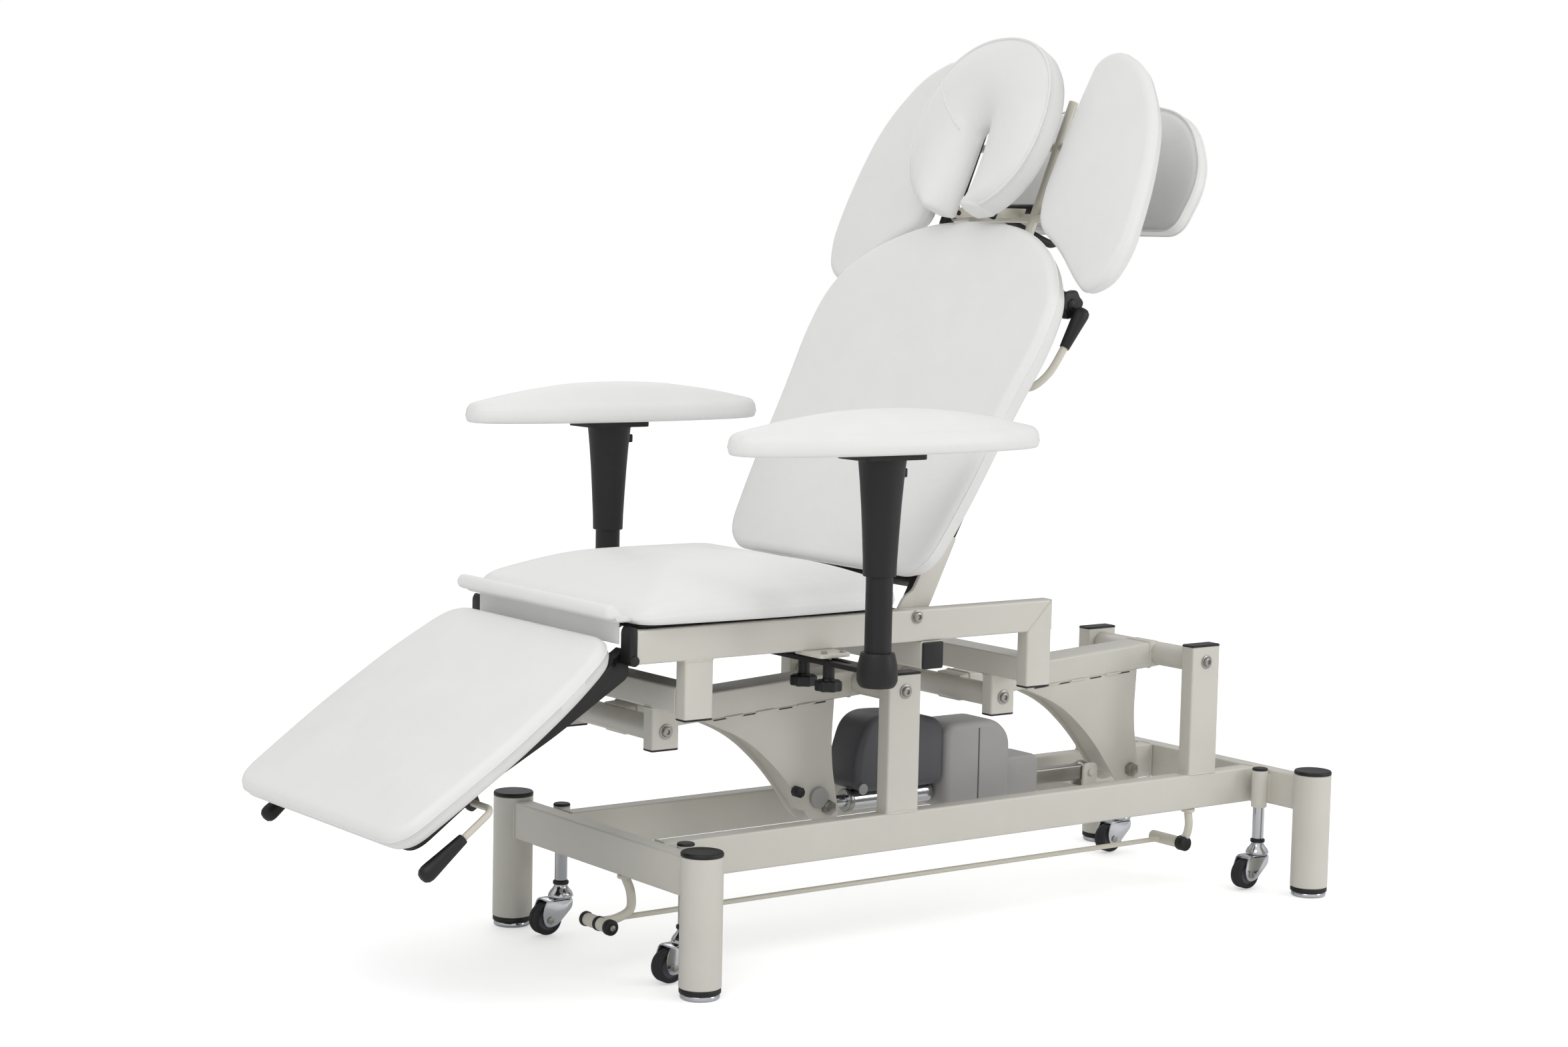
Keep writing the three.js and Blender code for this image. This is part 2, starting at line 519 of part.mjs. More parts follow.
// Arm shelf behind the head section: a half-moon pad on two bent rods
const shelfOutline = roundedShape(mirrored([[190, 240, 26], [290, 262, 90], [396, 190, 90], [420, 60, 60]]));
place(headSection, 'shelf_pad', pad(shelfOutline, head.shelfBack, head.shelfFront, 8), vinyl());
function shelfBracket() {
  const z = head.shelfPivot;
  const x = head.shelfX;
  const rods = sides.map(([, side]) => bentRod([[x, side * 75, z - 6], [x, side * 75, -60], [x, side * 75, -160],
    [x + 8, side * 75, -182], [x + 34, side * 75, -189], [330, side * 75, -189]], 7, 10));
  const hinge = round('y', -90, 90, [z, x], 9, 12);
  const rear = tube('z', [290, -90, -196], [330, 90, head.shelfBack - gap], 6);
  return cut(join(...rods, hinge, rear), round('y', -95, 95, [z, x], 5, 10));
}
place(headSection, 'shelf_bracket', shelfBracket(), blackSteel());

// Armrests
for (const [name, side] of sides) {
  const y = side * armrest.y;
  const { x } = armrest;
  const slotted = () => {
    const [barIn, barOut] = span(side, 104, armrest.y + 8);
    const [slotIn, slotOut] = span(side, 118, 300);
    const bar = tube('y', [x - armrest.barHalf, barIn, armrest.barLow], [x + armrest.barHalf, barOut, armrest.barHigh], 2);
    return cut(bar, tube('z', [x - 4.6, slotIn, 460], [x + 4.6, slotOut, 490], 4));
  };
  const boot = turned([[0, 453.5], [26, 453.5], [30, 462], [30, 480], [25, 504], [armrest.tubeR, 504],
    [armrest.tubeR, 716], [0, 716]], 14).translate(x, y, 0);
  place(frame, `armrest_bar_${name}`, join(slotted(), boot), blackSteel());

  const b = armrest.boreR;
  const sleeve = turned([[b, 617], [24.5, 617], [35.5, 786], [35.5, 790], [0, 790], [0, 774], [b, 774], [b, 617]], 14);
  const topPlate = tube('z', [-57, -38, 788], [57, 38, 798], 8);
  place(frame, `armrest_sleeve_${name}`, join(sleeve, topPlate), blackPlastic(), [x, y, 0]);
  const button = tube('x', [35.6, -6, 760], [44, 6, 774], 2);
  place(frame, `armrest_button_${name}`, button, blackPlastic(), [x, y, 0]);

  const outline = roundedShape([[-armrest.padHalf, 0, 40], [-200, -armrest.padWide, 110], [200, -armrest.padWide, 110],
    [armrest.padHalf, 0, 40], [200, armrest.padWide, 110], [-200, armrest.padWide, 110]]);
  place(frame, `armrest_pad_${name}`, pad(outline, armrest.padLow - 4.7, armrest.padHigh, 20), vinyl(),
    [armrest.padMid, y, 0]);

  const knob = turned([[0, 0], [21, 0], [21, 18], [9, 20], [9, 40.2], [4, 40.2], [4, 52], [0, 52]], 10);
  for (const [place2, knobY] of [['inner', 186], ['outer', 248]]) {
    place(frame, `armrest_knob_${place2}_${name}`, knob.clone(), blackPlastic(), [x, side * knobY, 431.5]);
  }
}

export default couch;
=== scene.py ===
# Treatment couch: upholstery, tube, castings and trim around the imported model
import math
import bpy
import bmesh
from mathutils import Matrix, Vector, noise


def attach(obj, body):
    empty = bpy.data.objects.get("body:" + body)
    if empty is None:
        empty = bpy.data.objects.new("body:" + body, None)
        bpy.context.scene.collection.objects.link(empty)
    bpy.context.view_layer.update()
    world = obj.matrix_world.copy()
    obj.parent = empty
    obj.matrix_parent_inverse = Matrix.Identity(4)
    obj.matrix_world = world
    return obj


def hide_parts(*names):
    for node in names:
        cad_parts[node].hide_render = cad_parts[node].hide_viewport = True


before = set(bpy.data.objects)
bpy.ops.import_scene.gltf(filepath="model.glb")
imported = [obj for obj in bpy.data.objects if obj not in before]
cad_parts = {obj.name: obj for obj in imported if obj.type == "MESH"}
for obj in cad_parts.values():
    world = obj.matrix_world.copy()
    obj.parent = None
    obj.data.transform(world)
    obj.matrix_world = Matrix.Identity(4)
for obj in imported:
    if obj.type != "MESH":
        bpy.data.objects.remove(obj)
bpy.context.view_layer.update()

mm = 0.001
originX = 403.1  # the foot legs' axis is this far from the middle of the couch
sides = {"near": -1, "far": 1}
ends = {"foot": (0, 1), "head": (1270, -1)}
print("frame loaded")

# The camera comes first, at the studio's viewing angle
view = {"at": (-2360.0, -3648.8, 1109.5), "yaw": -36.53, "pitch": -5.71, "roll": 1.22, "lens": 66.34,
        "sensor": 36.0, "shift": -0.0042}


def makeCamera():
    yaw, pitch, roll = (math.radians(view[k]) for k in ("yaw", "pitch", "roll"))
    forward = Vector((-math.sin(yaw) * math.cos(pitch), math.cos(yaw) * math.cos(pitch), math.sin(pitch)))
    right = Vector((math.cos(yaw), math.sin(yaw), 0))
    up = right.cross(forward)
    tilted = right * math.cos(roll) + up * math.sin(roll)
    top = up * math.cos(roll) - right * math.sin(roll)
    data = bpy.data.cameras.new("camera")
    data.lens, data.sensor_width, data.shift_x = view["lens"], view["sensor"], view["shift"]
    data.clip_end = 60
    camera = bpy.data.objects.new("camera", data)
    x, y, z = view["at"]
    place = Matrix((tilted, top, -forward)).transposed().to_4x4()
    place.translation = Vector(((x - originX) * mm, y * mm, z * mm))
    camera.matrix_world = place
    bpy.context.scene.collection.objects.link(camera)
    bpy.context.scene.camera = camera


makeCamera()


# Materials: colours are sRGB hex, turned to linear here
def colour(value):
    parts = [int(value[i:i + 2], 16) / 255 for i in (0, 2, 4)]
    return tuple(c / 12.92 if c <= 0.04045 else ((c + 0.055) / 1.055) ** 2.4 for c in parts) + (1,)


def node(tree, kind, values=None, links=None, **props):
    made = tree.nodes.new(kind)
    for key, value in props.items():
        setattr(made, key, value)
    for key, value in (values or {}).items():
        made.inputs[key].default_value = value
    for key, source in (links or {}).items():
        tree.links.new(source, made.inputs[key])
    return made


# grain is (size in mm, bump strength, pattern) rows; tint varies the colour slightly
def surface(name, base, rough, metal=0.0, grain=(), coat=0.0, tint=0.0, sheen=0.0):
    material = bpy.data.materials.new(name)
    material.use_nodes = True
    tree = material.node_tree
    shader = tree.nodes["Principled BSDF"]
    shader.inputs["Base Color"].default_value = colour(base)
    shader.inputs["Metallic"].default_value = metal
    shader.inputs["Roughness"].default_value = rough
    shader.inputs["Coat Weight"].default_value = coat
    shader.inputs["Coat Roughness"].default_value = 0.25
    shader.inputs["Sheen Weight"].default_value = sheen
    place = node(tree, "ShaderNodeTexCoord").outputs["Object"]
    cloud = node(tree, "ShaderNodeTexNoise", {"Scale": 14.0, "Detail": 3.0}, {"Vector": place})
    wear = node(tree, "ShaderNodeMapRange", {"From Min": 0.3, "From Max": 0.7, "To Min": rough - 0.05,
                                             "To Max": rough + 0.06}, {"Value": cloud.outputs["Fac"]})
    tree.links.new(wear.outputs["Result"], shader.inputs["Roughness"])
    if tint:
        shade = node(tree, "ShaderNodeMapRange", {"From Min": 0.3, "From Max": 0.7, "To Min": 1 - tint,
                                                  "To Max": 1.0}, {"Value": cloud.outputs["Fac"]})
        mixed = node(tree, "ShaderNodeVectorMath", {0: colour(base)[:3]}, {1: shade.outputs["Result"]},
                     operation="MULTIPLY")
        tree.links.new(mixed.outputs["Vector"], shader.inputs["Base Color"])
    bump = None
    for size, strength, pattern in grain:
        if pattern == "pebble":  # embossed leather grain
            height = node(tree, "ShaderNodeTexVoronoi", {"Scale": 1000 / size, "Randomness": 0.9},
                          {"Vector": place}, feature="SMOOTH_F1").outputs["Distance"]
        else:
            height = node(tree, "ShaderNodeTexNoise", {"Scale": 1000 / size, "Detail": 2.0},
                          {"Vector": place}).outputs["Fac"]
        links = {"Height": height}
        if bump:
            links["Normal"] = bump.outputs["Normal"]
        bump = node(tree, "ShaderNodeBump", {"Strength": strength, "Distance": size * mm * 0.25}, links)
    if bump:
        tree.links.new(bump.outputs["Normal"], shader.inputs["Normal"])
    return material


# polyester powder coat, baked: an even satin with faint orange peel
powderCoat = surface("polyesterPowderCoatSatin", "D4D1C8", 0.36, grain=((2.4, 0.10, "noise"),), coat=0.12,
                     tint=0.03)
# the same coat over thin bent rod: a little lighter and smoother
rodCoat = surface("powderCoatedRod", "DAD6C8", 0.33, grain=((2.0, 0.08, "noise"),), coat=0.15, tint=0.03)
# PVC upholstery vinyl, calendered and embossed: soft broad highlights, a fine pebble drawn at twice its size
vinyl = surface("embossedUpholsteryVinyl", "EEEEED", 0.46, grain=((2.2, 0.16, "pebble"), (45.0, 0.12, "noise")),
                tint=0.02, sheen=0.05)
# black powder coat on the board frames: satin, slightly textured
blackCoat = surface("blackTexturedPowderCoat", "0D0D0F", 0.46, grain=((1.6, 0.2, "noise"),), tint=0.1)
# glass-filled nylon, moulded with a spark-eroded texture: matt black with a soft grey highlight
blackNylon = surface("mouldedGlassFilledNylon", "0E0E11", 0.5, grain=((1.2, 0.22, "noise"),), tint=0.08)
# bright chrome plate on turned steel: mirror with faint polishing haze
chromePlate = surface("brightChromePlate", "CDCFD3", 0.12, 1.0, grain=((9.0, 0.03, "noise"),))
# zinc-plated fasteners: grey, slightly cloudy metal
zincPlate = surface("zincPlatedSteel", "A9A7A2", 0.32, 1.0, grain=((1.5, 0.1, "noise"),), tint=0.1)
# moulded rubber tyres: dark grey, matt, with road dust
wheelRubber = surface("mouldedTyreRubber", "26262A", 0.72, grain=((1.5, 0.25, "noise"),), tint=0.2)
# ABS motor covers, fine moulded texture
greyAbs = surface("mouldedAbsGrey", "A8A7A6", 0.48, grain=((1.1, 0.15, "noise"),), tint=0.04)
darkAbs = surface("mouldedAbsDarkGrey", "55565B", 0.48, grain=((1.1, 0.15, "noise"),), tint=0.05)
print("materials made")


# Shapes: each is (points, faces) in millimetres
axisOrder = {"x": (1, 2, 0), "y": (2, 0, 1), "z": (0, 1, 2)}


# A shape's local Z goes to the named axis, and X and Y to the next two in turn
def along(axis, shape):
    order = axisOrder[axis]
    points = []
    for point in shape[0]:
        placed = [0.0, 0.0, 0.0]
        for value, index in zip(point, order):
            placed[index] = value
        points.append(tuple(placed))
    return points, shape[1]


def moved(shape, x=0.0, y=0.0, z=0.0):
    return [(a + x, b + y, c + z) for a, b, c in shape[0]], shape[1]


def placedBy(shape, matrix):
    return [tuple(matrix @ Vector(p)) for p in shape[0]], shape[1]


# Rounded polygon from (x, y, radius) corners; a radius takes at most half an edge
def outline(corners, steps=7):
    result = []
    count = len(corners)
    for i, (x, y, radius) in enumerate(corners):
        here = Vector((x, y))
        before = Vector(corners[i - 1][:2]) - here
        after = Vector(corners[(i + 1) % count][:2]) - here
        reach = min(radius, 0.485 * before.length, 0.485 * after.length)
        start, end = here + before.normalized() * reach, here + after.normalized() * reach
        for k in range(steps + 1):
            t = k / steps
            result.append(start * (1 - t) ** 2 + here * 2 * t * (1 - t) + end * t * t)
    area = sum(a.x * b.y - b.x * a.y for a, b in zip(result, result[1:] + result[:1]))
    return result if area > 0 else result[::-1]


def mirrored(half):
    return list(half) + [(x, -y, r) for x, y, r in reversed(half)]


# The closed outline again, with evenly spaced points
def resampled(points, count):
    loop = points + [points[0]]
    lengths = [0.0]
    for a, b in zip(loop, loop[1:]):
        lengths.append(lengths[-1] + (b - a).length)
    result, k = [], 0
    for i in range(count):
        target = lengths[-1] * i / count
        while lengths[k + 1] < target:
            k += 1
        span = lengths[k + 1] - lengths[k] or 1
        result.append(loop[k].lerp(loop[k + 1], (target - lengths[k]) / span))
    return result


def edgeNormals(points):
    result = []
    for i in range(len(points)):
        step = points[(i + 1) % len(points)] - points[i - 1]
        result.append(Vector((step.y, -step.x)).normalized())
    return result


def bridge(rings, size, closed=False):
    faces = []
    last = rings if closed else rings - 1
    for r in range(last):
        a, b = r * size, ((r + 1) % rings) * size
        faces += [(a + i, a + (i + 1) % size, b + (i + 1) % size, b + i) for i in range(size)]
    return faces


# A prism from an outline, with rings of (inset, height) and flat ends
def stack(points, rings):
    normals = edgeNormals(points)
    size = len(points)
    result = [(p.x - n.x * inset, p.y - n.y * inset, h) for inset, h in rings for p, n in zip(points, normals)]
    faces = bridge(len(rings), size)
    faces.append(tuple(reversed(range(size))))
    faces.append(tuple(range((len(rings) - 1) * size, len(rings) * size)))
    return result, faces


# Rings that round both ends of a prism
def roundedRings(low, high, soft, steps=4):
    arc = [(soft * (1 - math.sin(k / steps * math.pi / 2)), soft * (1 - math.cos(k / steps * math.pi / 2)))
           for k in range(steps + 1)]
    return [(inset, low + h) for inset, h in arc] + [(inset, high - h) for inset, h in reversed(arc)]


# Rectangular tube with rounded long edges
def bar(axis, low, high, radius=4.0, end=0.5):
    k = "xyz".index(axis)
    a, b = (k + 1) % 3, (k + 2) % 3
    corners = [(low[a], low[b], radius), (high[a], low[b], radius), (high[a], high[b], radius),
               (low[a], high[b], radius)]
    return along(axis, stack(outline(corners, 4), roundedRings(low[k], high[k], end, 1)))


def plate(axis, corners, low, high, soft=0.8, steps=7):
    return along(axis, stack(outline(corners, steps), roundedRings(low, high, soft, 2)))


# An outline in X and Z, for a plate that lies across Y
def sidePlate(corners, low, high, soft=0.8, steps=7):
    return plate("y", [(z, x, r) for x, z, r in corners], low, high, soft, steps)


# A turned shape about Z from (radius, height) points; the axis points become poles
def turned(profile, segments=48):
    closed = profile[0] == profile[-1]
    rows = profile[:-1] if closed else profile[1:-1]
    points = [(r * math.cos(2 * math.pi * i / segments), r * math.sin(2 * math.pi * i / segments), h)
              for r, h in rows for i in range(segments)]
    faces = bridge(len(rows), segments, closed)
    if not closed:
        points += [(0, 0, profile[0][1]), (0, 0, profile[-1][1])]
        first, last = len(points) - 2, len(points) - 1
        base = (len(rows) - 1) * segments
        faces += [(first, (i + 1) % segments, i) for i in range(segments)]
        faces += [(last, base + i, base + (i + 1) % segments) for i in range(segments)]
    return points, faces


def roundBar(axis, low, high, centre, radius, soft=0.8, segments=36):
    soft = min(soft, radius * 0.45)
    profile = [(0, low), (radius - soft, low), (radius - soft * 0.3, low + soft * 0.3), (radius, low + soft),
               (radius, high - soft), (radius - soft * 0.3, high - soft * 0.3), (radius - soft, high),
               (0, high)]
    return along(axis, moved(turned(profile, segments), centre[0], centre[1]))


# Centripetal curve through the points
def smoothPath(points, steps=8):
    nodes = [Vector(p) for p in points]
    nodes = [nodes[0] * 2 - nodes[1]] + nodes + [nodes[-1] * 2 - nodes[-2]]
    result = []
    for p0, p1, p2, p3 in zip(nodes, nodes[1:], nodes[2:], nodes[3:]):
        t1 = (p1 - p0).length ** 0.5
        t2 = t1 + (p2 - p1).length ** 0.5
        t3 = t2 + (p3 - p2).length ** 0.5
        for k in range(steps):
            t = t1 + (t2 - t1) * k / steps
            a1 = p0 * ((t1 - t) / t1) + p1 * (t / t1)
            a2 = p1 * ((t2 - t) / (t2 - t1)) + p2 * ((t - t1) / (t2 - t1))
            a3 = p2 * ((t3 - t) / (t3 - t2)) + p3 * ((t - t2) / (t3 - t2))
            b1 = a1 * ((t2 - t) / t2) + a2 * (t / t2)
            b2 = a2 * ((t3 - t) / (t3 - t1)) + a3 * ((t - t1) / (t3 - t1))
            result.append(b1 * ((t2 - t) / (t2 - t1)) + b2 * ((t - t1) / (t2 - t1)))
    return result + [nodes[-2]]


# A round rod along a smooth path, with closed ends
def sweep(points, radius, segments=16, steps=8, closed=False):
    path = points if steps == 0 else smoothPath(points, steps)
    result = []
    side = None
    for i, here in enumerate(path):
        if closed:
            step = (path[(i + 1) % len(path)] - path[i - 1]).normalized()
        else:
            step = (path[min(i + 1, len(path) - 1)] - path[max(i - 1, 0)]).normalized()
        if side is None:
            side = step.orthogonal().normalized()
        side = (side - step * side.dot(step)).normalized()
        other = step.cross(side)
        for k in range(segments):
            angle = 2 * math.pi * k / segments
            result.append(tuple(here + (side * math.cos(angle) + other * math.sin(angle)) * radius))
    faces = bridge(len(path), segments, closed)
    if not closed:
        faces.append(tuple(reversed(range(segments))))
        faces.append(tuple(range((len(path) - 1) * segments, len(path) * segments)))
    return result, faces


# A weld bead round a rectangular tube's end
def weld(axis, low, high, at, size=1.8):
    k = "xyz".index(axis)
    a, b = (k + 1) % 3, (k + 2) % 3
    corners = [(low[a], low[b], 5), (high[a], low[b], 5), (high[a], high[b], 5), (low[a], high[b], 5)]
    loop = resampled(outline(corners, 4), 90)
    ripple = [Vector((p.x, p.y, at + 0.35 * math.sin(i * 2.1))) for i, p in enumerate(loop)]
    return along(axis, sweep(ripple, size, 8, 0, True))


# One finished object: merged shapes, normals outward, riding on its body
def piece(name, shapes, material, body, replaced=(), place=None, smooth=38):
    mesh = bpy.data.meshes.new(name)
    points, faces = [], []
    for shapePoints, shapeFaces in shapes:
        start = len(points)
        points += [place @ Vector(p) if place else Vector(p) for p in shapePoints]
        faces += [tuple(start + i for i in face) for face in shapeFaces]
    mesh.from_pydata([((p.x - originX) * mm, p.y * mm, p.z * mm) for p in points], [], faces)
    work = bmesh.new()
    work.from_mesh(mesh)
    bmesh.ops.remove_doubles(work, verts=work.verts, dist=1e-6)
    bmesh.ops.recalc_face_normals(work, faces=work.faces)
    work.to_mesh(mesh)
    work.free()
    mesh.shade_smooth()
    mesh.set_sharp_from_angle(angle=math.radians(smooth))
    mesh.materials.append(material)
    made = bpy.data.objects.new(name, mesh)
    bpy.context.scene.collection.objects.link(made)
    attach(made, body)
    if replaced:
        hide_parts(*([replaced] if isinstance(replaced, str) else replaced))
    return made


# A tilted working plane, its X along the section and its Z out of the padding
def section(x, z, tilt, parent=None):
    here = Matrix.Translation((x, 0, z)) @ Matrix.Rotation(-math.radians(tilt), 4, "Y")
    return parent @ here if parent else here


def span(side, inner, outer):
    return (-outer, -inner) if side < 0 else (inner, outer)


legPlane = section(-102, 505, 34.2)
backPlane = section(422.6, 528.5, 61)
headPlane = section(560, -20, 6.5, backPlane)

# Base
base = {"legY": 265, "legR": 31.75, "legLow": 15.9, "legTop": 210.4, "railLow": 145, "railHigh": 205,
        "half": 15, "railIn": 115, "railOut": 145, "casterX": 33.7, "casterY": 173.5, "sleeveR": 13.5,
        "bore": 10.4}
posts = {"x": (467.5, 1125.5), "width": 64, "inner": 117, "outer": 145, "top": 424, "bolt": 398}


# A pressed-in end cap with a rounded rim and a shallow dish
def capOn(x, y, low, radius, high):
    profile = [(0, low), (radius, low), (radius + 0.6, low + 0.6), (radius + 0.6, high - 2.2),
               (radius - 0.8, high - 0.4), (radius - 2.6, high), (radius - 4.2, high - 0.5), (0, high + 0.3)]
    return moved(turned(profile, 56), x, y)


def makeBase():
    for end, (x, inward) in ends.items():
        shapes = [bar("y", (x - base["half"], -242, base["railLow"]),
                      (x + base["half"], 242, base["railHigh"]))]
        caps = []
        for side in sides.values():
            y = side * base["legY"]
            profile = [(0, base["legLow"]), (30.6, base["legLow"]), (base["legR"], base["legLow"] + 1.2),
                       (base["legR"], base["legTop"] - 1), (30.6, base["legTop"]), (0, base["legTop"])]
            shapes.append(moved(turned(profile, 72), x, y))
            cx, cy = x + inward * base["casterX"], side * base["casterY"]
            low, high, r, b = 141, base["railHigh"], base["sleeveR"], base["bore"]
            sleeve = [(b, low), (r - 0.6, low), (r, low + 0.6), (r, high - 0.6), (r - 0.6, high), (b, high),
                      (b, low)]
            shapes.append(moved(turned(sleeve, 40), cx, cy))
            webX = sorted((x + inward * 10, x + inward * 22.4))
            shapes.append(bar("z", (webX[0], cy - 9, 150), (webX[1], cy + 9, 198), 2))
            corner = (x - base["half"], 0, base["railLow"]), (x + base["half"], 0, base["railHigh"])
            shapes.append(weld("y", *corner, side * 236.6, 2.4))
            caps += [capOn(x, y, base["legTop"] + 0.2, 31.2, 217),
                     capOn(cx, cy, base["railHigh"] + 0.3, 13, 209.4)]
        piece(f"{end}EndFrame", shapes, powderCoat, "base", f"{end}_end_frame")
        piece(f"{end}EndCaps", caps, blackNylon, "base")
    for name, side in sides.items():
        low, high = span(side, base["railIn"], base["railOut"])
        shapes = [bar("x", (15.3, low, base["railLow"]), (1254.7, high, base["railHigh"]))]
        postLow, postHigh = span(side, posts["inner"], posts["outer"])
        caps = []
        for x in posts["x"]:
            a, b = x - posts["width"] / 2, x + posts["width"] / 2
            shapes.append(bar("z", (a, postLow, 203), (b, postHigh, posts["top"]), 4))
            shapes.append(weld("z", (a, postLow, 0), (b, postHigh, 0), 205.4, 1.7))
            capCorners = [(a, postLow, 4), (b, postLow, 4), (b, postHigh, 4), (a, postHigh, 4)]
            caps.append(stack(outline(capCorners, 4), [(-0.4, 424.3), (-0.4, 426.2), (0.8, 427.6), (2.4, 428.0),
                                                       (3.4, 427.7)]))
        for at in (17.2, 1252.8):
            shapes.append(weld("x", (0, low, base["railLow"]), (0, high, base["railHigh"]), at, 2.0))
        piece(f"sideRail_{name}", shapes, powderCoat, "base", f"side_rail_{name}")
        piece(f"postCaps_{name}", caps, blackNylon, "base")
    for end, (x, inward) in ends.items():
        for name, side in sides.items():
            foot = f"levelling_foot_{end}_{name}"
            disc = [(0, 0), (27.6, 0), (29.2, 1.2), (29.6, 3.2), (29.2, 6.4), (27.8, 7.8), (0, 7.8)]
            stem = [(0, 13), (5.8, 13), (5.8, 44), (5, 45), (0, 45)]
            at = (x, side * base["legY"])
            piece(f"footDisc_{end}_{name}", [moved(turned(disc, 64), *at), moved(turned(stem, 24), *at)],
                  chromePlate, foot, foot)
            ring = [(0, 7.9), (30.2, 7.9), (31.2, 9), (31.2, 14.2), (30.4, 15.4), (0, 15.4)]
            piece(f"footRing_{end}_{name}", [moved(turned(ring, 64), *at)], blackNylon, foot)
    shapes = [bar("y", (968, -114.7, 148), (1002, 114.7, 176), 3), roundBar("y", -20, 20, (200, 985), 6)]
    for side in sides.values():
        shapes.append(sidePlate([(969, 174, 1), (969, 216, 12), (1001, 216, 12), (1001, 174, 1)],
                                *span(side, 11, 16)))
    piece("driveAnchor", shapes, powderCoat, "base", "actuator_anchor")


makeBase()
print("base made")

# Casters
caster = {"axle": 26.5, "trail": 28, "wheel": 25, "fork": 13.5, "sheet": 2.5}


def makeCasters():
    for end, (x, inward) in ends.items():
        for name, side in sides.items():
            at = (x + inward * base["casterX"], side * base["casterY"])
            body = f"caster_fork_{end}_{name}"
            dome = [(0, 59), (18.4, 59), (20, 60.4), (19.6, 63.5), (17.2, 68), (13.5, 72.4), (11.2, 76),
                    (10.8, 79), (0, 79)]
            stem = [(0, 85), (9.4, 85), (10, 86), (10, 189), (9, 190), (0, 190)]
            race = [(0, 57.6), (15, 57.6), (16, 58.2), (16, 59.4), (0, 59.4)]
            shapes = [turned(p, 48) for p in (dome, stem, race)]
            cheek = [(13, 58, 4), (13, 44, 10), (-16, 16, 12), (-36, 15, 12), (-43, 36, 14), (-34, 58, 6)]
            for cheekSide in sides.values():
                shapes.append(sidePlate(cheek, *span(cheekSide, caster["fork"],
                                                     caster["fork"] + caster["sheet"]), 0.6))
            crown = [(13, -16, 5), (13, 16, 5), (-31, 16, 8), (-31, -16, 8)]
            shapes.append(plate("z", crown, 54.6, 58.2, 1.0))
            piece(f"casterFork_{end}_{name}", [moved(s, *at) for s in shapes], chromePlate, body, body)
            axle = [roundBar("y", -18.6, 18.6, (caster["axle"], -28), 3.6, 0.6, 20)]
            axle += [roundBar("y", *span(s, 16.1, 19.4), (caster["axle"], -28), 6.4, 1.0, 6)
                     for s in sides.values()]
            piece(f"casterAxle_{end}_{name}", [moved(s, *at) for s in axle], zincPlate, body)
            grommet = [(0, 79.2), (11.6, 79.2), (12.6, 80.2), (12.6, 84), (11.6, 85), (0, 85)]
            piece(f"casterGrommet_{end}_{name}", [moved(turned(grommet, 40), *at)], blackNylon, body)
            r = caster["wheel"]
            tyre = [(17.5, -10.6), (22.4, -11), (24.2, -10), (r, -7.6), (r, -2.0), (24.0, -0.8), (24.0, 0.8),
                    (r, 2.0), (r, 7.6), (24.2, 10), (22.4, 11), (17.5, 10.6), (17.5, -10.6)]
            hub = [(4.4, -11), (8, -11), (8.6, -9.6), (16.4, -8.6), (17.4, -10.4), (17.4, 10.4), (16.4, 8.6),
                   (8.6, 9.6), (8, 11), (4.4, 11), (4.4, -11)]
            wheel = f"caster_wheel_{end}_{name}"
            spot = (at[0] - caster["trail"], at[1], caster["axle"])
            piece(f"casterTyre_{end}_{name}", [moved(along("y", turned(tyre, 48)), *spot)], wheelRubber,
                  wheel, wheel)
            piece(f"casterHub_{end}_{name}", [moved(along("y", turned(hub, 48)), *spot)], darkAbs, wheel)


makeCasters()
print("casters made")

# Lift arms: box beam, pivot tubes, curved horn plates
lift = {"z": 398, "x": (467.5, 1125.5), "rest": 3.37, "arm": 450, "beamWide": 60, "beamHigh": 44, "tube": 20.2,
        "tubeHalf": 116.4, "topTube": 18.8, "topHalf": 112, "horn": (24, 30), "pin": (-194, -73.7)}
hornLine = [(-304, -20, 0.5), (-304, -23, 1), (-226, -62, 60), (-158, -130, 70), (-110, -204, 12),
            (-92, -220, 12), (-50, -216, 14), (-64, -110, 70), (-54, -24, 2), (-54, -20, 0.5)]


# Domed screw head with a washer and a hex socket, on a face across Y
def boltAt(y, outward, centre, washer=11.0, head=8.0):
    profile = [(0, 0), (washer, 0), (washer + 0.4, 0.4), (washer + 0.4, 1.5), (washer, 1.8), (head, 1.8),
               (head, 4.0), (head * 0.86, 5.6), (head * 0.55, 6.2), (head * 0.5, 6.2), (head * 0.5, 3.6),
               (0, 3.6)]
    shape = turned(profile, 36)
    if outward < 0:
        shape = ([(a, b, -c) for a, b, c in shape[0]], shape[1])
    return moved(along("y", shape), centre[1], y, centre[0])


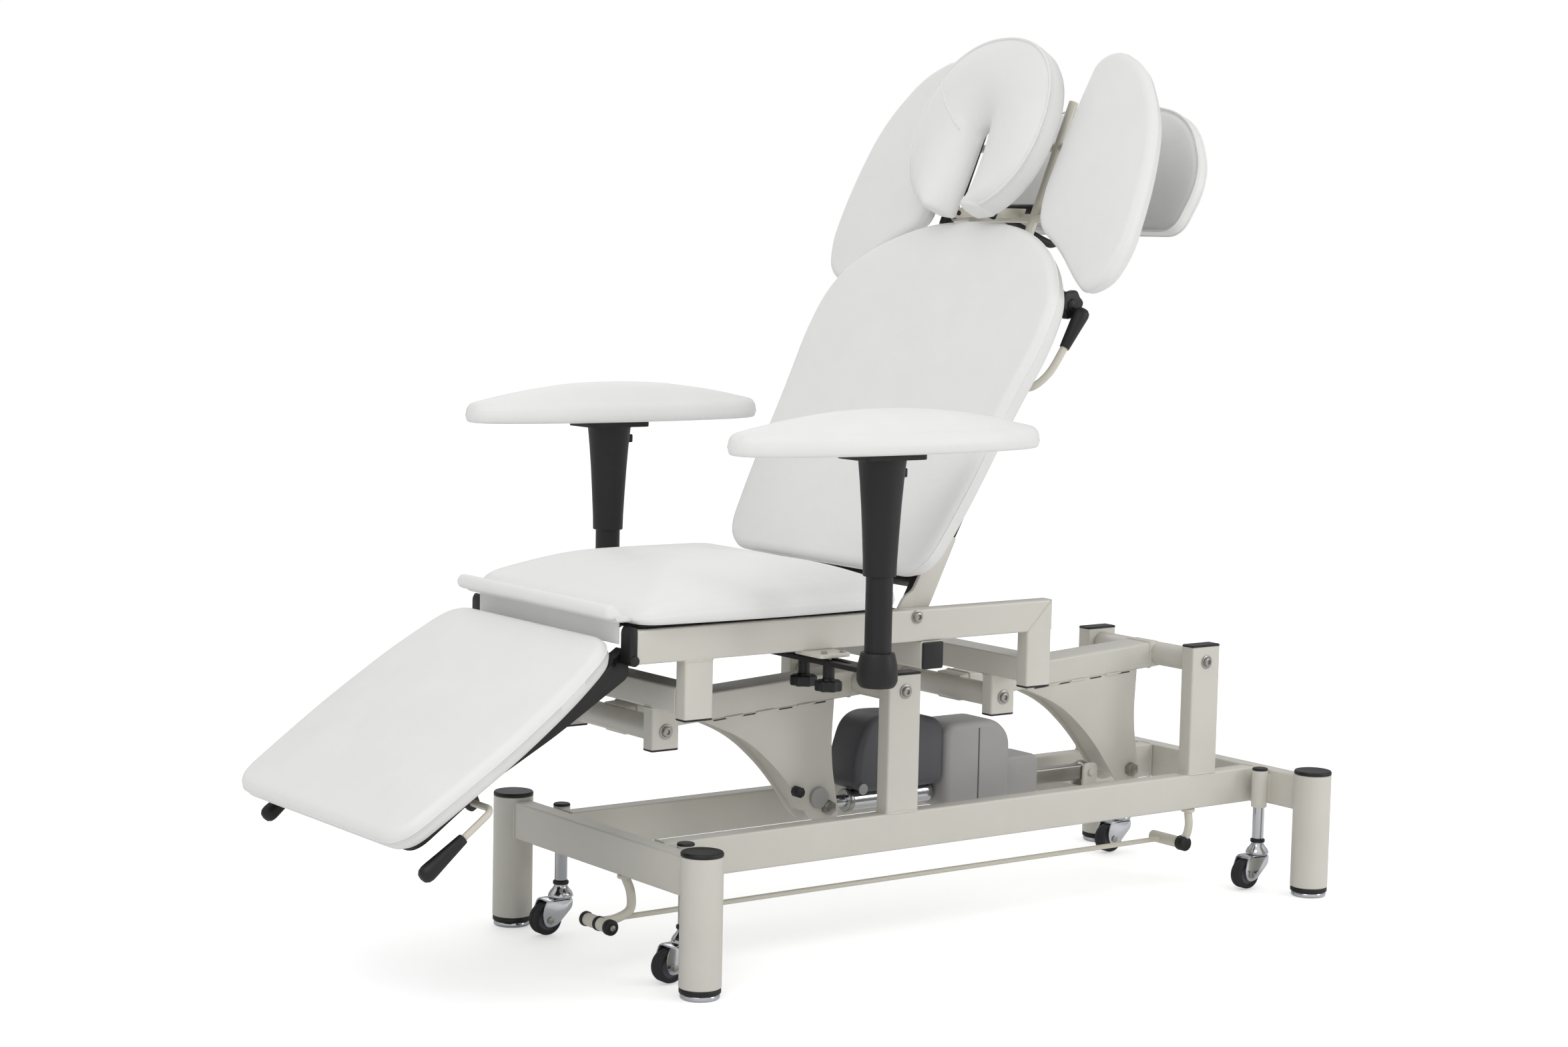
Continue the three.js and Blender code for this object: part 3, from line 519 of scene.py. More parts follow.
def makeLift():
    for end, x in zip(ends, lift["x"]):
        plane = section(x, lift["z"], lift["rest"])
        body = f"lift_arm_{end}"
        w, h = lift["beamWide"] / 2, lift["beamHigh"] / 2
        shapes = [bar("x", (-lift["arm"], -w, -h), (0, w, h), 5)]
        shapes.append(roundBar("y", -lift["tubeHalf"], lift["tubeHalf"], (0, 0), lift["tube"], 0.8, 56))
        shapes.append(roundBar("y", -lift["topHalf"], lift["topHalf"], (0, -lift["arm"]), lift["topTube"],
                               0.8, 56))
        for side in sides.values():
            shapes.append(sidePlate(hornLine, *span(side, *lift["horn"]), 0.7, 12))
            for slotX in (-250, -190, -110):  # weld beads between beam and horn
                bead = [(slotX - 17, side * 30.4, -h + 1), (slotX, side * 30.9, -h + 0.6),
                        (slotX + 17, side * 30.4, -h + 1)]
                shapes.append(sweep(bead, 1.7, 10, 6))
        inner = [Vector(p) for p in ((-292, 0, -26), (-226, 0, -58), (-172, 0, -108), (-134, 0, -160),
                                     (-108, 0, -198))]
        strip = smoothPath(inner, 8)
        rows = []
        for p, q in zip(strip, strip[1:] + [strip[-1] * 2 - strip[-2]]):
            step = (q - p).normalized()
            normal = Vector((-step.z, 0, step.x))
            rows += [(p.x, -23.8, p.z), (p.x, 23.8, p.z), (p.x + normal.x * 3, 23.8, p.z + normal.z * 3),
                     (p.x + normal.x * 3, -23.8, p.z + normal.z * 3)]
        last = (len(strip) - 1) * 4
        shapes.append((rows, bridge(len(strip), 4) + [(3, 2, 1, 0), (last, last + 1, last + 2, last + 3)]))
        for at in (-lift["arm"] + 21, -21.5):
            shapes.append(weld("x", (0, -w, -h), (0, w, h), at, 2.0))
        piece(f"liftArm_{end}", shapes, powderCoat, body, body, plane)
        metal = [roundBar("y", -41, 41, lift["pin"], 6, 0.8, 24)]
        metal += [roundBar("y", *span(s, 30.2, 40), lift["pin"], 12.5, 1.2, 6) for s in sides.values()]
        for side in sides.values():
            metal.append(boltAt(side * 145.3, side, (0, 0)))
            metal.append(boltAt(side * 138.2, side, (0, -lift["arm"])))
            for at, edge in ((0, 144), (-lift["arm"], 137)):
                metal.append(roundBar("y", *span(side, lift["topHalf"] + 0.4, edge), (0, at), 7.6, 0.4, 24))
        piece(f"liftPins_{end}", metal, zincPlate, body, (), plane)
        # painted shade: thin black strips stand for the shade inside the slots between beam and horn, between
        # the weld beads
        slotShadeStrips = [bar("x", (at - 13, min(s * 29, s * 30.5), -h - 1.6),
                    (at + 13, max(s * 29, s * 30.5), -h + 0.4), 0.3)
                    for at in (-276, -222, -150, -84) for s in sides.values()]
        piece(f"liftSlotShade_{end}", slotShadeStrips, blackCoat, body, (), plane)
    plane = section(lift["x"][0], lift["z"], lift["rest"])
    knob = [roundBar("y", -47, -30.5, (-158, -137), 9, 1.5, 8),
            roundBar("y", -38, -30.4, (-175, -92), 17, 2, 40)]
    piece("hornBuffer", knob[:1], blackNylon, "lift_arm_foot", (), plane)
    piece("hornDisc", knob[1:], greyAbs, "lift_arm_foot", (), plane)


makeLift()
print("lift made")

# Drive: two moulded covers, end block, bright tube and rod
drive = {"x": 985, "z": 200, "reach": 579.5}


def makeDrive():
    plane = section(drive["x"], drive["z"], 0)
    cover = [(17, -527, 26), (17, -346.8, 16), (124, -346.8, 26), (141, -420, 60), (143, -506, 60),
             (70, -531, 80)]
    coverPoints = resampled(outline(cover, 10), 160)
    shape = along("y", stack(coverPoints, roundedRings(-40, 40, 12, 6)))
    piece("driveCover", [shape], darkAbs, "actuator_body", "actuator_housing", plane)
    body = [(-28, -346, 18), (-28, -204, 22), (88, -204, 50), (116, -236, 50), (116, -346, 24)]
    shapes = [along("y", stack(resampled(outline(body, 10), 160), roundedRings(-42, 42, 13, 6)))]
    block = [(-30, -212, 10), (-30, -133, 16), (48, -133, 20), (48, -212, 10)]
    shapes.append(along("y", stack(resampled(outline(block, 8), 120), roundedRings(-32, 32, 7, 5))))
    piece("driveGearbox", shapes, greyAbs, "actuator_body", "actuator_gearbox", plane)
    seams = [bar("z", (-276.4, side * 42.1 - 0.4, -20), (-273.8, side * 42.1 + 0.4, 104), 0.3)
             for side in sides.values()]
    piece("driveSeams", seams, darkAbs, "actuator_body", (), plane)
    ring = [(7, -10), (15, -10), (15, 10), (7, 10), (7, -10)]
    shapes = [along("y", turned(ring, 36)), bar("x", (-140, -10, -13), (-13, 10, 13), 3)]
    piece("driveTail", shapes, zincPlate, "actuator_body", (), plane)
    tube = [(10.5, 0), (16.6, 0), (17, 0.4), (17, 172), (10.5, 172), (10.5, 0)]
    ringed = [(10.5, 1), (18.6, 1), (19.2, 2), (19.2, 9), (18.6, 10), (10.5, 10), (10.5, 1)]
    shape = [moved(along("x", turned(p, 48)), -523.6) for p in (tube, ringed)]
    piece("driveTube", shape[:1], chromePlate, "actuator_body", "actuator_tube", plane)
    piece("driveTubeNut", shape[1:], zincPlate, "actuator_body", (), plane)
    eye = [(10.4, -9), (16.4, -9), (17, -8.2), (17, 8.2), (16.4, 9), (10.4, 9), (10.4, -9)]
    rod = [roundBar("x", -drive["reach"] + 14, -400, (0, 0), 9.8, 0.8, 40),
           moved(along("y", turned(eye, 40)), -drive["reach"])]
    piece("driveRod", rod, chromePlate, "actuator_rod", "actuator_rod", plane)
    disc = [roundBar("y", -44.5, -42.6, (24, -515), 9, 0.8, 40)]
    piece("driveCoverPlug", [moved(s, 0, 3.2) for s in disc], greyAbs, "actuator_body", (), plane)


makeDrive()

pedal = {"z": 80, "rod": 4.2, "bend": 7}


def makeFootBar():
    z = pedal["z"]
    foot = [(0, -62, 141), (4, -72, 118), (2, -74, 92), (-22, -73.5, 81), (-50, -74, z), (-59, -74, z)]
    head = [(1109, -130, 141), (1114, -128, 112), (1116, -118, 90), (1117, -96, z)]
    shapes = [roundBar("x", -8, 1108, (-68, z), pedal["rod"], 0.6, 20), sweep(foot, pedal["bend"], 18),
              sweep(head, pedal["bend"], 18)]
    for x, low, high in ((-59, -110, -46), (1112, -110, -42)):
        shapes.append(roundBar("y", low, high, (z, x), 10, 1.2, 32))
    for x, y in ((0, -62), (1109, -130)):
        shapes.append(moved(turned([(0, 138), (11, 138), (12, 139), (12, 142.6), (11, 143.6), (0, 143.6)],
                                   28), x, y))
    piece("footBar", shapes, rodCoat, "foot_control_bar", "foot_control_bar")
    black = [roundBar("y", low, high, (z, x), r, 1.6, 32) for x, low, high, r in
             ((-59, -119, -109, 12), (-59, -52, -44, 11.4), (-59, -88, -80, 11.2), (1112, -126, -109, 12.8))]
    piece("footBarTips", black, blackNylon, "foot_control_bar")
    piece("footBarBolt", [roundBar("y", -122.4, -118.6, (z, -59), 5, 0.8, 6)], zincPlate, "foot_control_bar")


makeFootBar()
print("drive and control bar made")

# Seat frame
seat = {"in": 198, "out": 224, "low": 490, "high": 540, "front": -91, "rear": 699.6, "drop": 402.6,
        "bracket": (112.6, 137.9, 344.8), "pivot": (18.2, 676.2)}


# Black plug under a tube's open end
def endCap(x0, x1, y0, y1, top, thick=3.0):
    corners = [(x0, y0, 4), (x1, y0, 4), (x1, y1, 4), (x0, y1, 4)]
    return stack(outline(corners, 4), [(1.2, top - thick), (-0.2, top - thick + 1.2), (-0.2, top - 0.3)])


def makeSeatFrame():
    for name, side in sides.items():
        low, high = span(side, seat["in"], seat["out"])
        shapes = [bar("x", (seat["front"], low, seat["low"]), (seat["rear"], high, seat["high"]), 4)]
        for a, b in ((-7, 43), (649.6, 699.6)):
            shapes.append(bar("z", (a, low, seat["drop"]), (b, high, 494), 4))
        shapes.append(weld("z", (-7, low, 0), (43, high, 0), 489.4, 1.6))
        outside = high if side > 0 else low
        mitre = [(650.5, outside + side * 0.15, 491), (675, outside + side * 0.3, 515),
                 (698.5, outside + side * 0.15, 539)]
        shapes.append(sweep(mitre, 1.1, 8, 6))
        clampLow, clampHigh = span(side, 200, 270)
        shapes.append(plate("z", [(205, clampLow, 8), (262, clampLow, 8), (262, clampHigh, 8),
                                  (205, clampHigh, 8)],
                            484.2, 490.4, 0.8))
        piece(f"seatRail_{name}", shapes, powderCoat, "seat", f"seat_rail_{name}")
        caps = [endCap(-7, 43, low, high, seat["drop"]), endCap(649.6, 699.6, low, high, seat["drop"])]
        block = [(-103.6, 491, 3), (-91.4, 491, 1), (-91.4, 543, 3), (-99, 546, 5), (-103.6, 538, 4)]
        blockLow, blockHigh = span(side, 198.2, 224.5)
        caps.append(sidePlate(block, blockLow, blockHigh, 1.2))
        caps.append(roundBar("y", *span(side, 197.9, 226), (495.9, -95.8), 8, 1.5, 24))
        outer = span(side, 224.2, 228)
        caps.append(plate("y", [(446, 434, 3), (488, 434, 3), (488, 474, 3), (446, 474, 3)], *outer, 1.4))
        piece(f"seatPlugs_{name}", caps, blackNylon, "seat")
        face = side * 224.2
        bolts = [boltAt(face, side, (528.5, 422.6), 10, 8.2)]
        for bx in (216, 251):
            bolts.append(moved(turned([(0, 490.5), (5.4, 490.5), (5.4, 493.4), (4.6, 494), (0, 494)], 6), bx,
                               side * 262))
        piece(f"seatBolts_{name}", bolts, zincPlate, "seat")
    inner, outer, drop = seat["bracket"]
    for end, x in zip(ends, seat["pivot"]):
        shapes = [bar("y", (x - 24, -197.7, 408), (x + 24, 197.7, 448), 4)]
        plugs = []
        for side in sides.values():
            low, high = span(side, inner, outer)
            shapes.append(bar("z", (x - 24.3, low, drop), (x + 24.3, high, 412), 4))
            shapes.append(weld("z", (x - 24.3, low, 0), (x + 24.3, high, 0), 407.6, 1.6))
            shapes.append(weld("y", (x - 24, 0, 408), (x + 24, 0, 448), side * 196.4, 1.8))
            plugs.append(endCap(x - 24.3, x + 24.3, low, high, drop))
        piece(f"seatCross_{end}", shapes, powderCoat, "seat", f"seat_cross_{end}")
        piece(f"seatCrossPlugs_{end}", plugs, blackNylon, "seat")
    shapes = [bar("y", (432, -224, 447), (476, 224, 489.7), 4), roundBar("y", -18, 18, (450, 505), 4)]
    for side in sides.values():
        lug = [(470, 452, 1), (470, 474, 1), (505, 468, 12), (519, 450, 12), (505, 438, 12)]
        shapes.append(sidePlate(lug, *span(side, 13, 18)))
    piece("seatCrossMiddle", shapes, powderCoat, "seat", "seat_cross_middle")
    board = outline(mirrored([(-85, 212, 20), (374, 212, 20)]))
    piece("seatBoard", [stack(board, roundedRings(540.4, 547, 1.2, 2))], blackCoat, "seat", "seat_board")


makeSeatFrame()
print("seat frame made")


# Padding: a crowned closed pad has a flat underside, side wall, rolled edge, then a dome towards the middle
def padShape(corners, low, edge, crown, soft=16.0, under=7.0, count=220, power=2.2, ripple=0.5, points=None):
    loop = resampled(points or outline(corners, 14), count)
    normals = edgeNormals(loop)
    middle = sum(loop, Vector((0, 0))) / count
    reach = sum((p - middle).length for p in loop) / count
    lean = math.atan(power * crown / reach)
    rings = [(under, low, 1)]
    for k in range(1, 5):
        a = k / 4 * math.pi / 2
        rings.append((under * (1 - math.sin(a)), low + under * (1 - math.cos(a)), 1))
    bulge = 1.2
    rings.append((-bulge, (low + under + edge - soft) / 2, 1))
    for k in range(0, 9):
        a = k / 8 * (math.pi / 2 - lean)
        rings.append((soft * (1 - math.cos(a)), edge - soft + soft * math.sin(a), 1))
    inset = rings[-1][0]
    start = rings[-1][1]
    for k in range(1, 26):
        s = 1 - k / 26
        rings.append((inset, start + crown * (1 - s ** power), s))
    made = []
    for inset, height, s in rings:
        for p, n in zip(loop, normals):
            q = middle + (p - n * inset - middle) * s
            spot = Vector((q.x / 90, q.y / 90, height / 60))
            sway = ripple * noise.noise(spot) if height > low + under else 0
            made.append((q.x, q.y, height + sway))
    made.append((middle.x, middle.y, start + crown))
    faces = bridge(len(rings), count)
    faces.append(tuple(reversed(range(count))))
    last = (len(rings) - 1) * count
    faces += [(last + i, last + (i + 1) % count, len(made) - 1) for i in range(count)]
    return made, faces


def bent(shape, rule):
    return [rule(*p) for p in shape[0]], shape[1]


# Geometry Nodes: one thread stitch at every step along a seam
def stitchTree():
    tree = bpy.data.node_groups.new("stitchRow", "GeometryNodeTree")
    tree.interface.new_socket("Seam", in_out="INPUT", socket_type="NodeSocketGeometry")
    for label in ("Spacing", "Length", "Thickness"):
        tree.interface.new_socket(label, in_out="INPUT", socket_type="NodeSocketFloat")
    tree.interface.new_socket("Thread", in_out="INPUT", socket_type="NodeSocketMaterial")
    tree.interface.new_socket("Stitches", in_out="OUTPUT", socket_type="NodeSocketGeometry")
    source = node(tree, "NodeGroupInput").outputs
    curve = node(tree, "GeometryNodeMeshToCurve", None, {0: source["Seam"]}).outputs[0]
    even = node(tree, "GeometryNodeResampleCurve", None, {"Curve": curve, "Length": source["Spacing"]},
                mode="LENGTH")
    tangent = node(tree, "GeometryNodeInputTangent").outputs[0]
    turn = node(tree, "FunctionNodeAlignRotationToVector", None, {"Vector": tangent}, axis="Z")
    size = node(tree, "ShaderNodeCombineXYZ", None, {"X": source["Thickness"], "Y": source["Thickness"],
                                                     "Z": source["Length"]})
    bead = node(tree, "GeometryNodeMeshIcoSphere", {"Radius": 0.5, "Subdivisions": 2})
    rows = node(tree, "GeometryNodeInstanceOnPoints", None, {
        "Points": even.outputs[0], "Instance": bead.outputs[0], "Rotation": turn.outputs[0],
        "Scale": size.outputs[0]})
    real = node(tree, "GeometryNodeRealizeInstances", None, {0: rows.outputs[0]})
    dressed = node(tree, "GeometryNodeSetMaterial", None,
                   {"Geometry": real.outputs[0], "Material": source["Thread"]})
    node(tree, "NodeGroupOutput", None, {0: dressed.outputs[0]})
    return tree


stitches = {"spacing": 4.2, "length": 3.2, "thickness": 0.9}
stitchNodes = stitchTree()


# Runs the stitch tree along a seam and keeps the result as a plain mesh
def stitchRow(name, path, body, place):
    mesh = bpy.data.meshes.new(name)
    world = [place @ Vector(p) for p in path]
    count = len(world)
    mesh.from_pydata([((p.x - originX) * mm, p.y * mm, p.z * mm) for p in world],
                     [(i, i + 1) for i in range(count - 1)], [])
    source = bpy.data.objects.new(name, mesh)
    bpy.context.scene.collection.objects.link(source)
    modifier = source.modifiers.new("stitches", "NODES")
    modifier.node_group = stitchNodes
    values = {"Spacing": stitches["spacing"] * mm, "Length": stitches["length"] * mm,
              "Thickness": stitches["thickness"] * mm, "Thread": vinyl}
    for item in stitchNodes.interface.items_tree:
        if item.in_out == "INPUT" and item.name in values:
            modifier[item.identifier] = values[item.name]
    depsgraph = bpy.context.evaluated_depsgraph_get()
    result = bpy.data.meshes.new_from_object(source.evaluated_get(depsgraph))
    source.modifiers.remove(modifier)
    source.data = result
    result.shade_smooth()
    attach(source, body)


def makePads():
    seatLine = mirrored([(-94, 240, 40), (30, 250, 200), (150, 254, 200), (270, 250, 200), (386, 240, 50)])
    cushion = padShape(seatLine, 547.6, 594, 34, 30, 9, 260, 2.0)
    # thinner at the front edge and a little at the back
    cushion = bent(cushion, lambda x, y, z: (x, y, 547.6 + (z - 547.6) * (
        1 - 0.42 * max(0.0, (40 - x) / 134) ** 1.7 - 0.22 * max(0.0, (x - 280) / 106) ** 2)))
    piece("seatPad", [cushion], vinyl, "seat", "seat_cushion", None, 60)
    legLine = mirrored([(-10, 222, 60), (-110, 250, 200), (-230, 263, 200), (-350, 259, 200), (-453, 252, 52)])
    piece("legPad", [padShape(legLine, 1.0, 43, 10, 14, 27, 260, 2.4)], vinyl, "leg_section", "leg_cushion",
          legPlane, 60)
    backLine = mirrored([(46, 254, 60), (180, 275, 300), (330, 284, 300), (450, 299, 300), (536, 291, 300),
                         (600, 241, 300), (642, 170, 300), (664, 104, 300), (672, 38, 300)])
    cushion = padShape(backLine, 12.5, 65, 5, 14, 38, 300, 2.6)
    # thinner towards the top, under the face ring
    cushion = bent(cushion, lambda x, y, z: (
        x, y, z - (12 * max(0.0, (x - 570) / 100) ** 1.3 if z > 50 else 0)))
    piece("backPad", [cushion], vinyl, "backrest", "back_cushion", backPlane,
          60)
    for name, side in sides.items():
        wing = [(419, 202, 34), (388, 272, 50), (300, 340, 60), (196, 366, 60), (80, 372, 50), (24, 352, 26),
                (2, 308, 24), (24, 276, 18), (70, 222, 30), (112, 152, 26), (168, 138, 36), (300, 146, 50),
                (402, 160, 30)]
        wing = [(x, side * y, r) for x, y, r in wing]
        piece(f"wingPad_{name}", [padShape(wing, 18.2, 56, 7, 14, 20, 260, 2.4)], vinyl, f"wing_{name}",
              f"wing_{name}", headPlane, 60)
        ply = [(380, 190, 20), (300, 310, 60), (190, 335, 60), (70, 330, 40), (60, 260, 20), (130, 165, 20),
               (330, 160, 20)]
        ply = [(x, side * y, r) for x, y, r in ply]
        piece(f"wingBoard_{name}", [stack(outline(ply), roundedRings(12.4, 18.1, 1, 2))], blackCoat,
              f"wing_{name}", (), headPlane)
        top = []
        for i in range(240):
            a = 2 * math.pi * i / 240
            c, s = math.cos(a), math.sin(a)
            top.append(Vector((277 * math.copysign(abs(c) ** 0.88, c), 75 * math.copysign(abs(s) ** 0.82, s))))
        lens = padShape(None, 798.6, 832, 31, 17, 8, 260, 2.0, 0.5, top)
        # gathers at both tips, where the cover is folded under
        lens = bent(lens, lambda x, y, z: (x, y, z + (0.9 * math.sin(y / 3.4) * max(0.0, (abs(x) - 224) / 54)
                                                      if z > 800 else 0)))
        place = Matrix.Translation((247, side * 365, 0))
        piece(f"armPad_{name}", [lens], vinyl, f"armrest_pad_{name}", f"armrest_pad_{name}", place, 60)
    roll = []
    for k in range(21):
        a = math.radians(40 + 262 * k / 20)
        roll.append(Vector((-128 + 11 * math.cos(a), 567 + 11 * math.sin(a))))
    profile = roll + [Vector((-118, 551)), Vector((-89, 550.6)), Vector((-88.6, 557)), Vector((-106, 560.5))]
    rows = []
    for y, inset in ((-214, 5), (-213, 2.4), (-210, 0.6), (-205, 0), (205, 0), (210, 0.6), (213, 2.4),
                     (214, 5)):
        centre = sum(profile, Vector((0, 0))) / len(profile)
        rows += [(p.x + (centre.x - p.x) * inset / 14, y, p.y + (centre.y - p.y) * inset / 14) for p in profile]
    size = len(profile)
    faces = bridge(8, size) + [tuple(reversed(range(size))), tuple(range(7 * size, 8 * size))]
    apron = bar("y", (-106.4, -196, 518), (-104.1, 196, 553), 1)
    piece("hingeCover", [(rows, faces), apron], vinyl, "seat", "hinge_cover", None, 50)


makePads()
print("pads made")


# Leg section and its release lever
grip = [(0, 0), (7.6, 0), (8, 1), (9, 14), (10.8, 40), (12.4, 60), (12.8, 68), (11.6, 74), (8, 78.4), (3, 80),
        (0, 80)]


# A moulded grip on a rod's end
def gripAt(start, direction, length):
    shape = turned([(r, h * length / 80) for r, h in grip], 32)
    turn = Vector((0, 0, 1)).rotation_difference(Vector(direction)).to_matrix().to_4x4()
    return placedBy(shape, Matrix.Translation(start) @ turn)


def makeLeg():
    shapes = [stack(outline(mirrored([(-12, 205, 20), (-430, 228, 30)])), roundedRings(-9, 0.6, 1.2, 2))]
    rail = [(11, -11, 8), (11, 0, 3), (-330, 0, 2), (-330, -16, 4), (-150, -34, 20), (-6, -40, 12)]
    tab = [(-288, -6, 2), (-296, -42, 6), (-314, -42, 6), (-322, -6, 2)]
    for side in sides.values():
        shapes.append(sidePlate(rail, *span(side, 170, 194), 2.0))
        shapes.append(sidePlate(tab, *span(side, 176, 184)))
        shapes.append(roundBar("y", *span(side, 160, 197.4), (-11, 0), 6))
    for x in (-60, -290):
        shapes.append(bar("y", (x - 12, -172, -20), (x + 12, 172, -5), 3))
    piece("legFrame", shapes, blackCoat, "leg_section", "leg_frame", legPlane)
    z = -31
    lever = [roundBar("y", -214, 214, (z, -305), 5, 0.6, 24)]
    grips = []
    for side in sides.values():
        path = [(-305, 210, z), (-305, 222, z), (-306.5, 231, z), (-314, 239, z), (-328, 240.4, z - 0.6),
                (-372, 240, z - 3)]
        lever.append(sweep([(x, side * y, h) for x, y, h in path], 5, 20))
        grips.append(gripAt((-364, side * 240, z - 2.6), (-1, 0, -0.052), 82))
        grips.append(roundBar("y", *span(side, 171, 175.7), (z, -305), 7.5, 0.8, 24))
    piece("legLever", lever, rodCoat, "leg_release_lever", "leg_release_lever", legPlane)
    piece("legGrips", grips, blackNylon, "leg_release_lever", (), legPlane)


makeLeg()


# Backrest frame, lever and gas spring
def makeBack():
    board = outline(mirrored([(70, 186, 20), (590, 186, 70)]))
    shapes = [stack(board, roundedRings(-4, 12.3, 1.4, 2))]
    for name, side in sides.items():
        low, high = span(side, 165, 190)
        shapes.append(bar("x", (24, low, -34), (590, high, -3), 4))
        hinge = [(-18, -16, 14), (-18, 18, 14), (24, 16, 12), (40, 5, 6), (130, 5, 8), (150, -30, 8),
                 (20, -36, 24)]
        piece(f"backHinge_{name}", [sidePlate(hinge, *span(side, 189.4, 196.5))], powderCoat,
              "backrest", (), backPlane)
        shapes.append(roundBar("y", *span(side, 160, 197.6), (0, 0), 7))
        cheek = [(270, -3, 1), (286, -58, 12), (316, -58, 12), (330, -3, 1)]
        shapes.append(sidePlate(cheek, *span(side, 16, 21)))
    for x, z in ((70, -30), (470, -34)):
        shapes.append(bar("y", (x - 15, -170, z), (x + 15, 170, z + 25), 3))
    shapes.append(roundBar("y", -23, 23, (-38, 300), 4))
    piece("backFrame", shapes, blackCoat, "backrest", "back_frame", backPlane)
    path = [(408, -120, -20), (408, -196, -20), (409, -214, -20.4), (414, -228, -21.6), (426, -239, -23.6),
            (446, -246.5, -26.4), (494, -250, -30)]
    lever = [sweep(path, 6, 22), roundBar("y", -155, -102, (-20, 408), 8, 1, 28)]
    piece("backLever", lever, rodCoat, "back_release_lever", "back_release_lever", backPlane)
    piece("backGrip", [gripAt((488, -249.7, -29.8), (1, -0.04, -0.03), 72)], blackNylon, "back_release_lever",
          (), backPlane)
    plane = section(505, 450, 73.4)
    eye = [(4.5, -10), (9.4, -10), (10, -9.4), (10, 9.4), (9.4, 10), (4.5, 10), (4.5, -10)]
    barrel = [(5.5, 26), (10.2, 26), (11, 27), (11, 186), (10, 189), (8.6, 190), (5.5, 190), (5.5, 26)]
    shapes = [along("y", turned(eye, 32)), roundBar("x", 8, 27, (0, 0), 8), along("x", turned(barrel, 40))]
    piece("springBarrel", shapes, blackCoat, "gas_spring_barrel", "gas_spring_barrel", plane)
    shapes = [roundBar("x", 150, 332, (0, 0), 5, 0.6, 28),
              moved(along("y", turned([(0, -7), (7.4, -7), (8, -6.4), (8, 6.4), (7.4, 7), (0, 7)], 28)), 336.5)]
    piece("springRod", shapes, chromePlate, "gas_spring_rod", "gas_spring_rod", plane)


makeBack()


# Head section and armrests use this lobed hand knob with its stem, from z = 0 upwards
def starKnob(radius, height, lobes, stem):
    points = []
    for i in range(lobes * 16):
        a = 2 * math.pi * i / (lobes * 16)
        r = radius * (0.93 + 0.07 * math.cos(lobes * a))
        points.append(Vector((r * math.cos(a), r * math.sin(a))))
    soft = min(3.0, height * 0.25)
    return [stack(points, roundedRings(0, height, soft, 5)), turned([(0, height - 1), (stem, height - 1),
            (stem * 0.86, height + 3), (stem * 0.8, height + 3.4), (0, height + 3.4)], 32)]


def makeHead():
    shapes = [roundBar("y", -212, 212, (0, 0), 9, 0.8, 32)]
    for side in sides.values():
        shapes.append(sweep([(0, side * 75, 0), (175, side * 75, 0), (352, side * 75, 0)], 8, 24, 2))
        shapes.append(sweep([(128, side * 140, 3), (208, side * 140, 3), (290, side * 140, 3)], 8, 24, 2))
        faceLug = [(115, 71, 6), (150, -2, 2), (164, -2, 2), (134, 71, 6)]
        shelfLug = [(142, 4, 2), (160, -36, 8), (184, -36, 8), (166, 4, 2)]
        shapes.append(sidePlate(faceLug, *span(side, 40, 46)))
        shapes.append(sidePlate(shelfLug, *span(side, 92, 97)))
    for x in (146, 272):
        shapes.append(roundBar("y", -140, 140, (0, x), 7, 0.8, 28))
    shapes.append(roundBar("y", -99, 99, (-24, 172), 4, 0.5, 20))
    piece("headFrame", shapes, rodCoat, "head_section", "head_frame", headPlane)
    knob = starKnob(24, 15, 6, 10)
    turn = Matrix.Translation((0, -222, 0)) @ Matrix.Rotation(math.radians(90), 4, "X")
    shaft = [(0, -9.4), (10, -9.4), (12, -4), (12.4, 0.4), (0, 0.4)]
    shapes = [placedBy(s, turn) for s in knob + [turned(shaft, 32)]]
    piece("headKnob", shapes, blackNylon, "head_clamp_knob", "head_clamp_knob", headPlane)
    tube = [roundBar("y", -90, 90, (-24, 172), 9, 0.8, 32)]
    for side in sides.values():
        path = [(172, -30), (172, -60), (172, -160), (174, -174), (184, -185), (206, -189), (330, -189)]
        tube.append(sweep([(x, side * 75, z) for x, z in path], 7, 22))
    back = outline([(290, -90, 8), (330, -90, 8), (330, 90, 8), (290, 90, 8)])
    tube.append(stack(back, roundedRings(-196, -175.2, 1.2, 2)))
    piece("shelfBracket", tube, blackCoat, "arm_shelf", "shelf_bracket", headPlane)


faceRing = {"mid": 262, "halfX": 153, "halfY": 157, "low": 72, "high": 134, "slot": 21, "top": 8, "power": 2.2}


faceSection = [(0.0, 76), (-0.02, 88), (0.02, 99), (0.08, 109), (0.16, 118), (0.26, 125.5), (0.38, 130.6),
               (0.50, 132.6), (0.62, 131.8), (0.74, 128.8), (0.85, 124), (0.93, 119.4), (0.975, 116),
               (1.0, 112.5), (1.012, 100), (1.0, 84), (0.97, 75.5), (0.93, 72.4), (0.5, 72.2), (0.06, 72.4)]


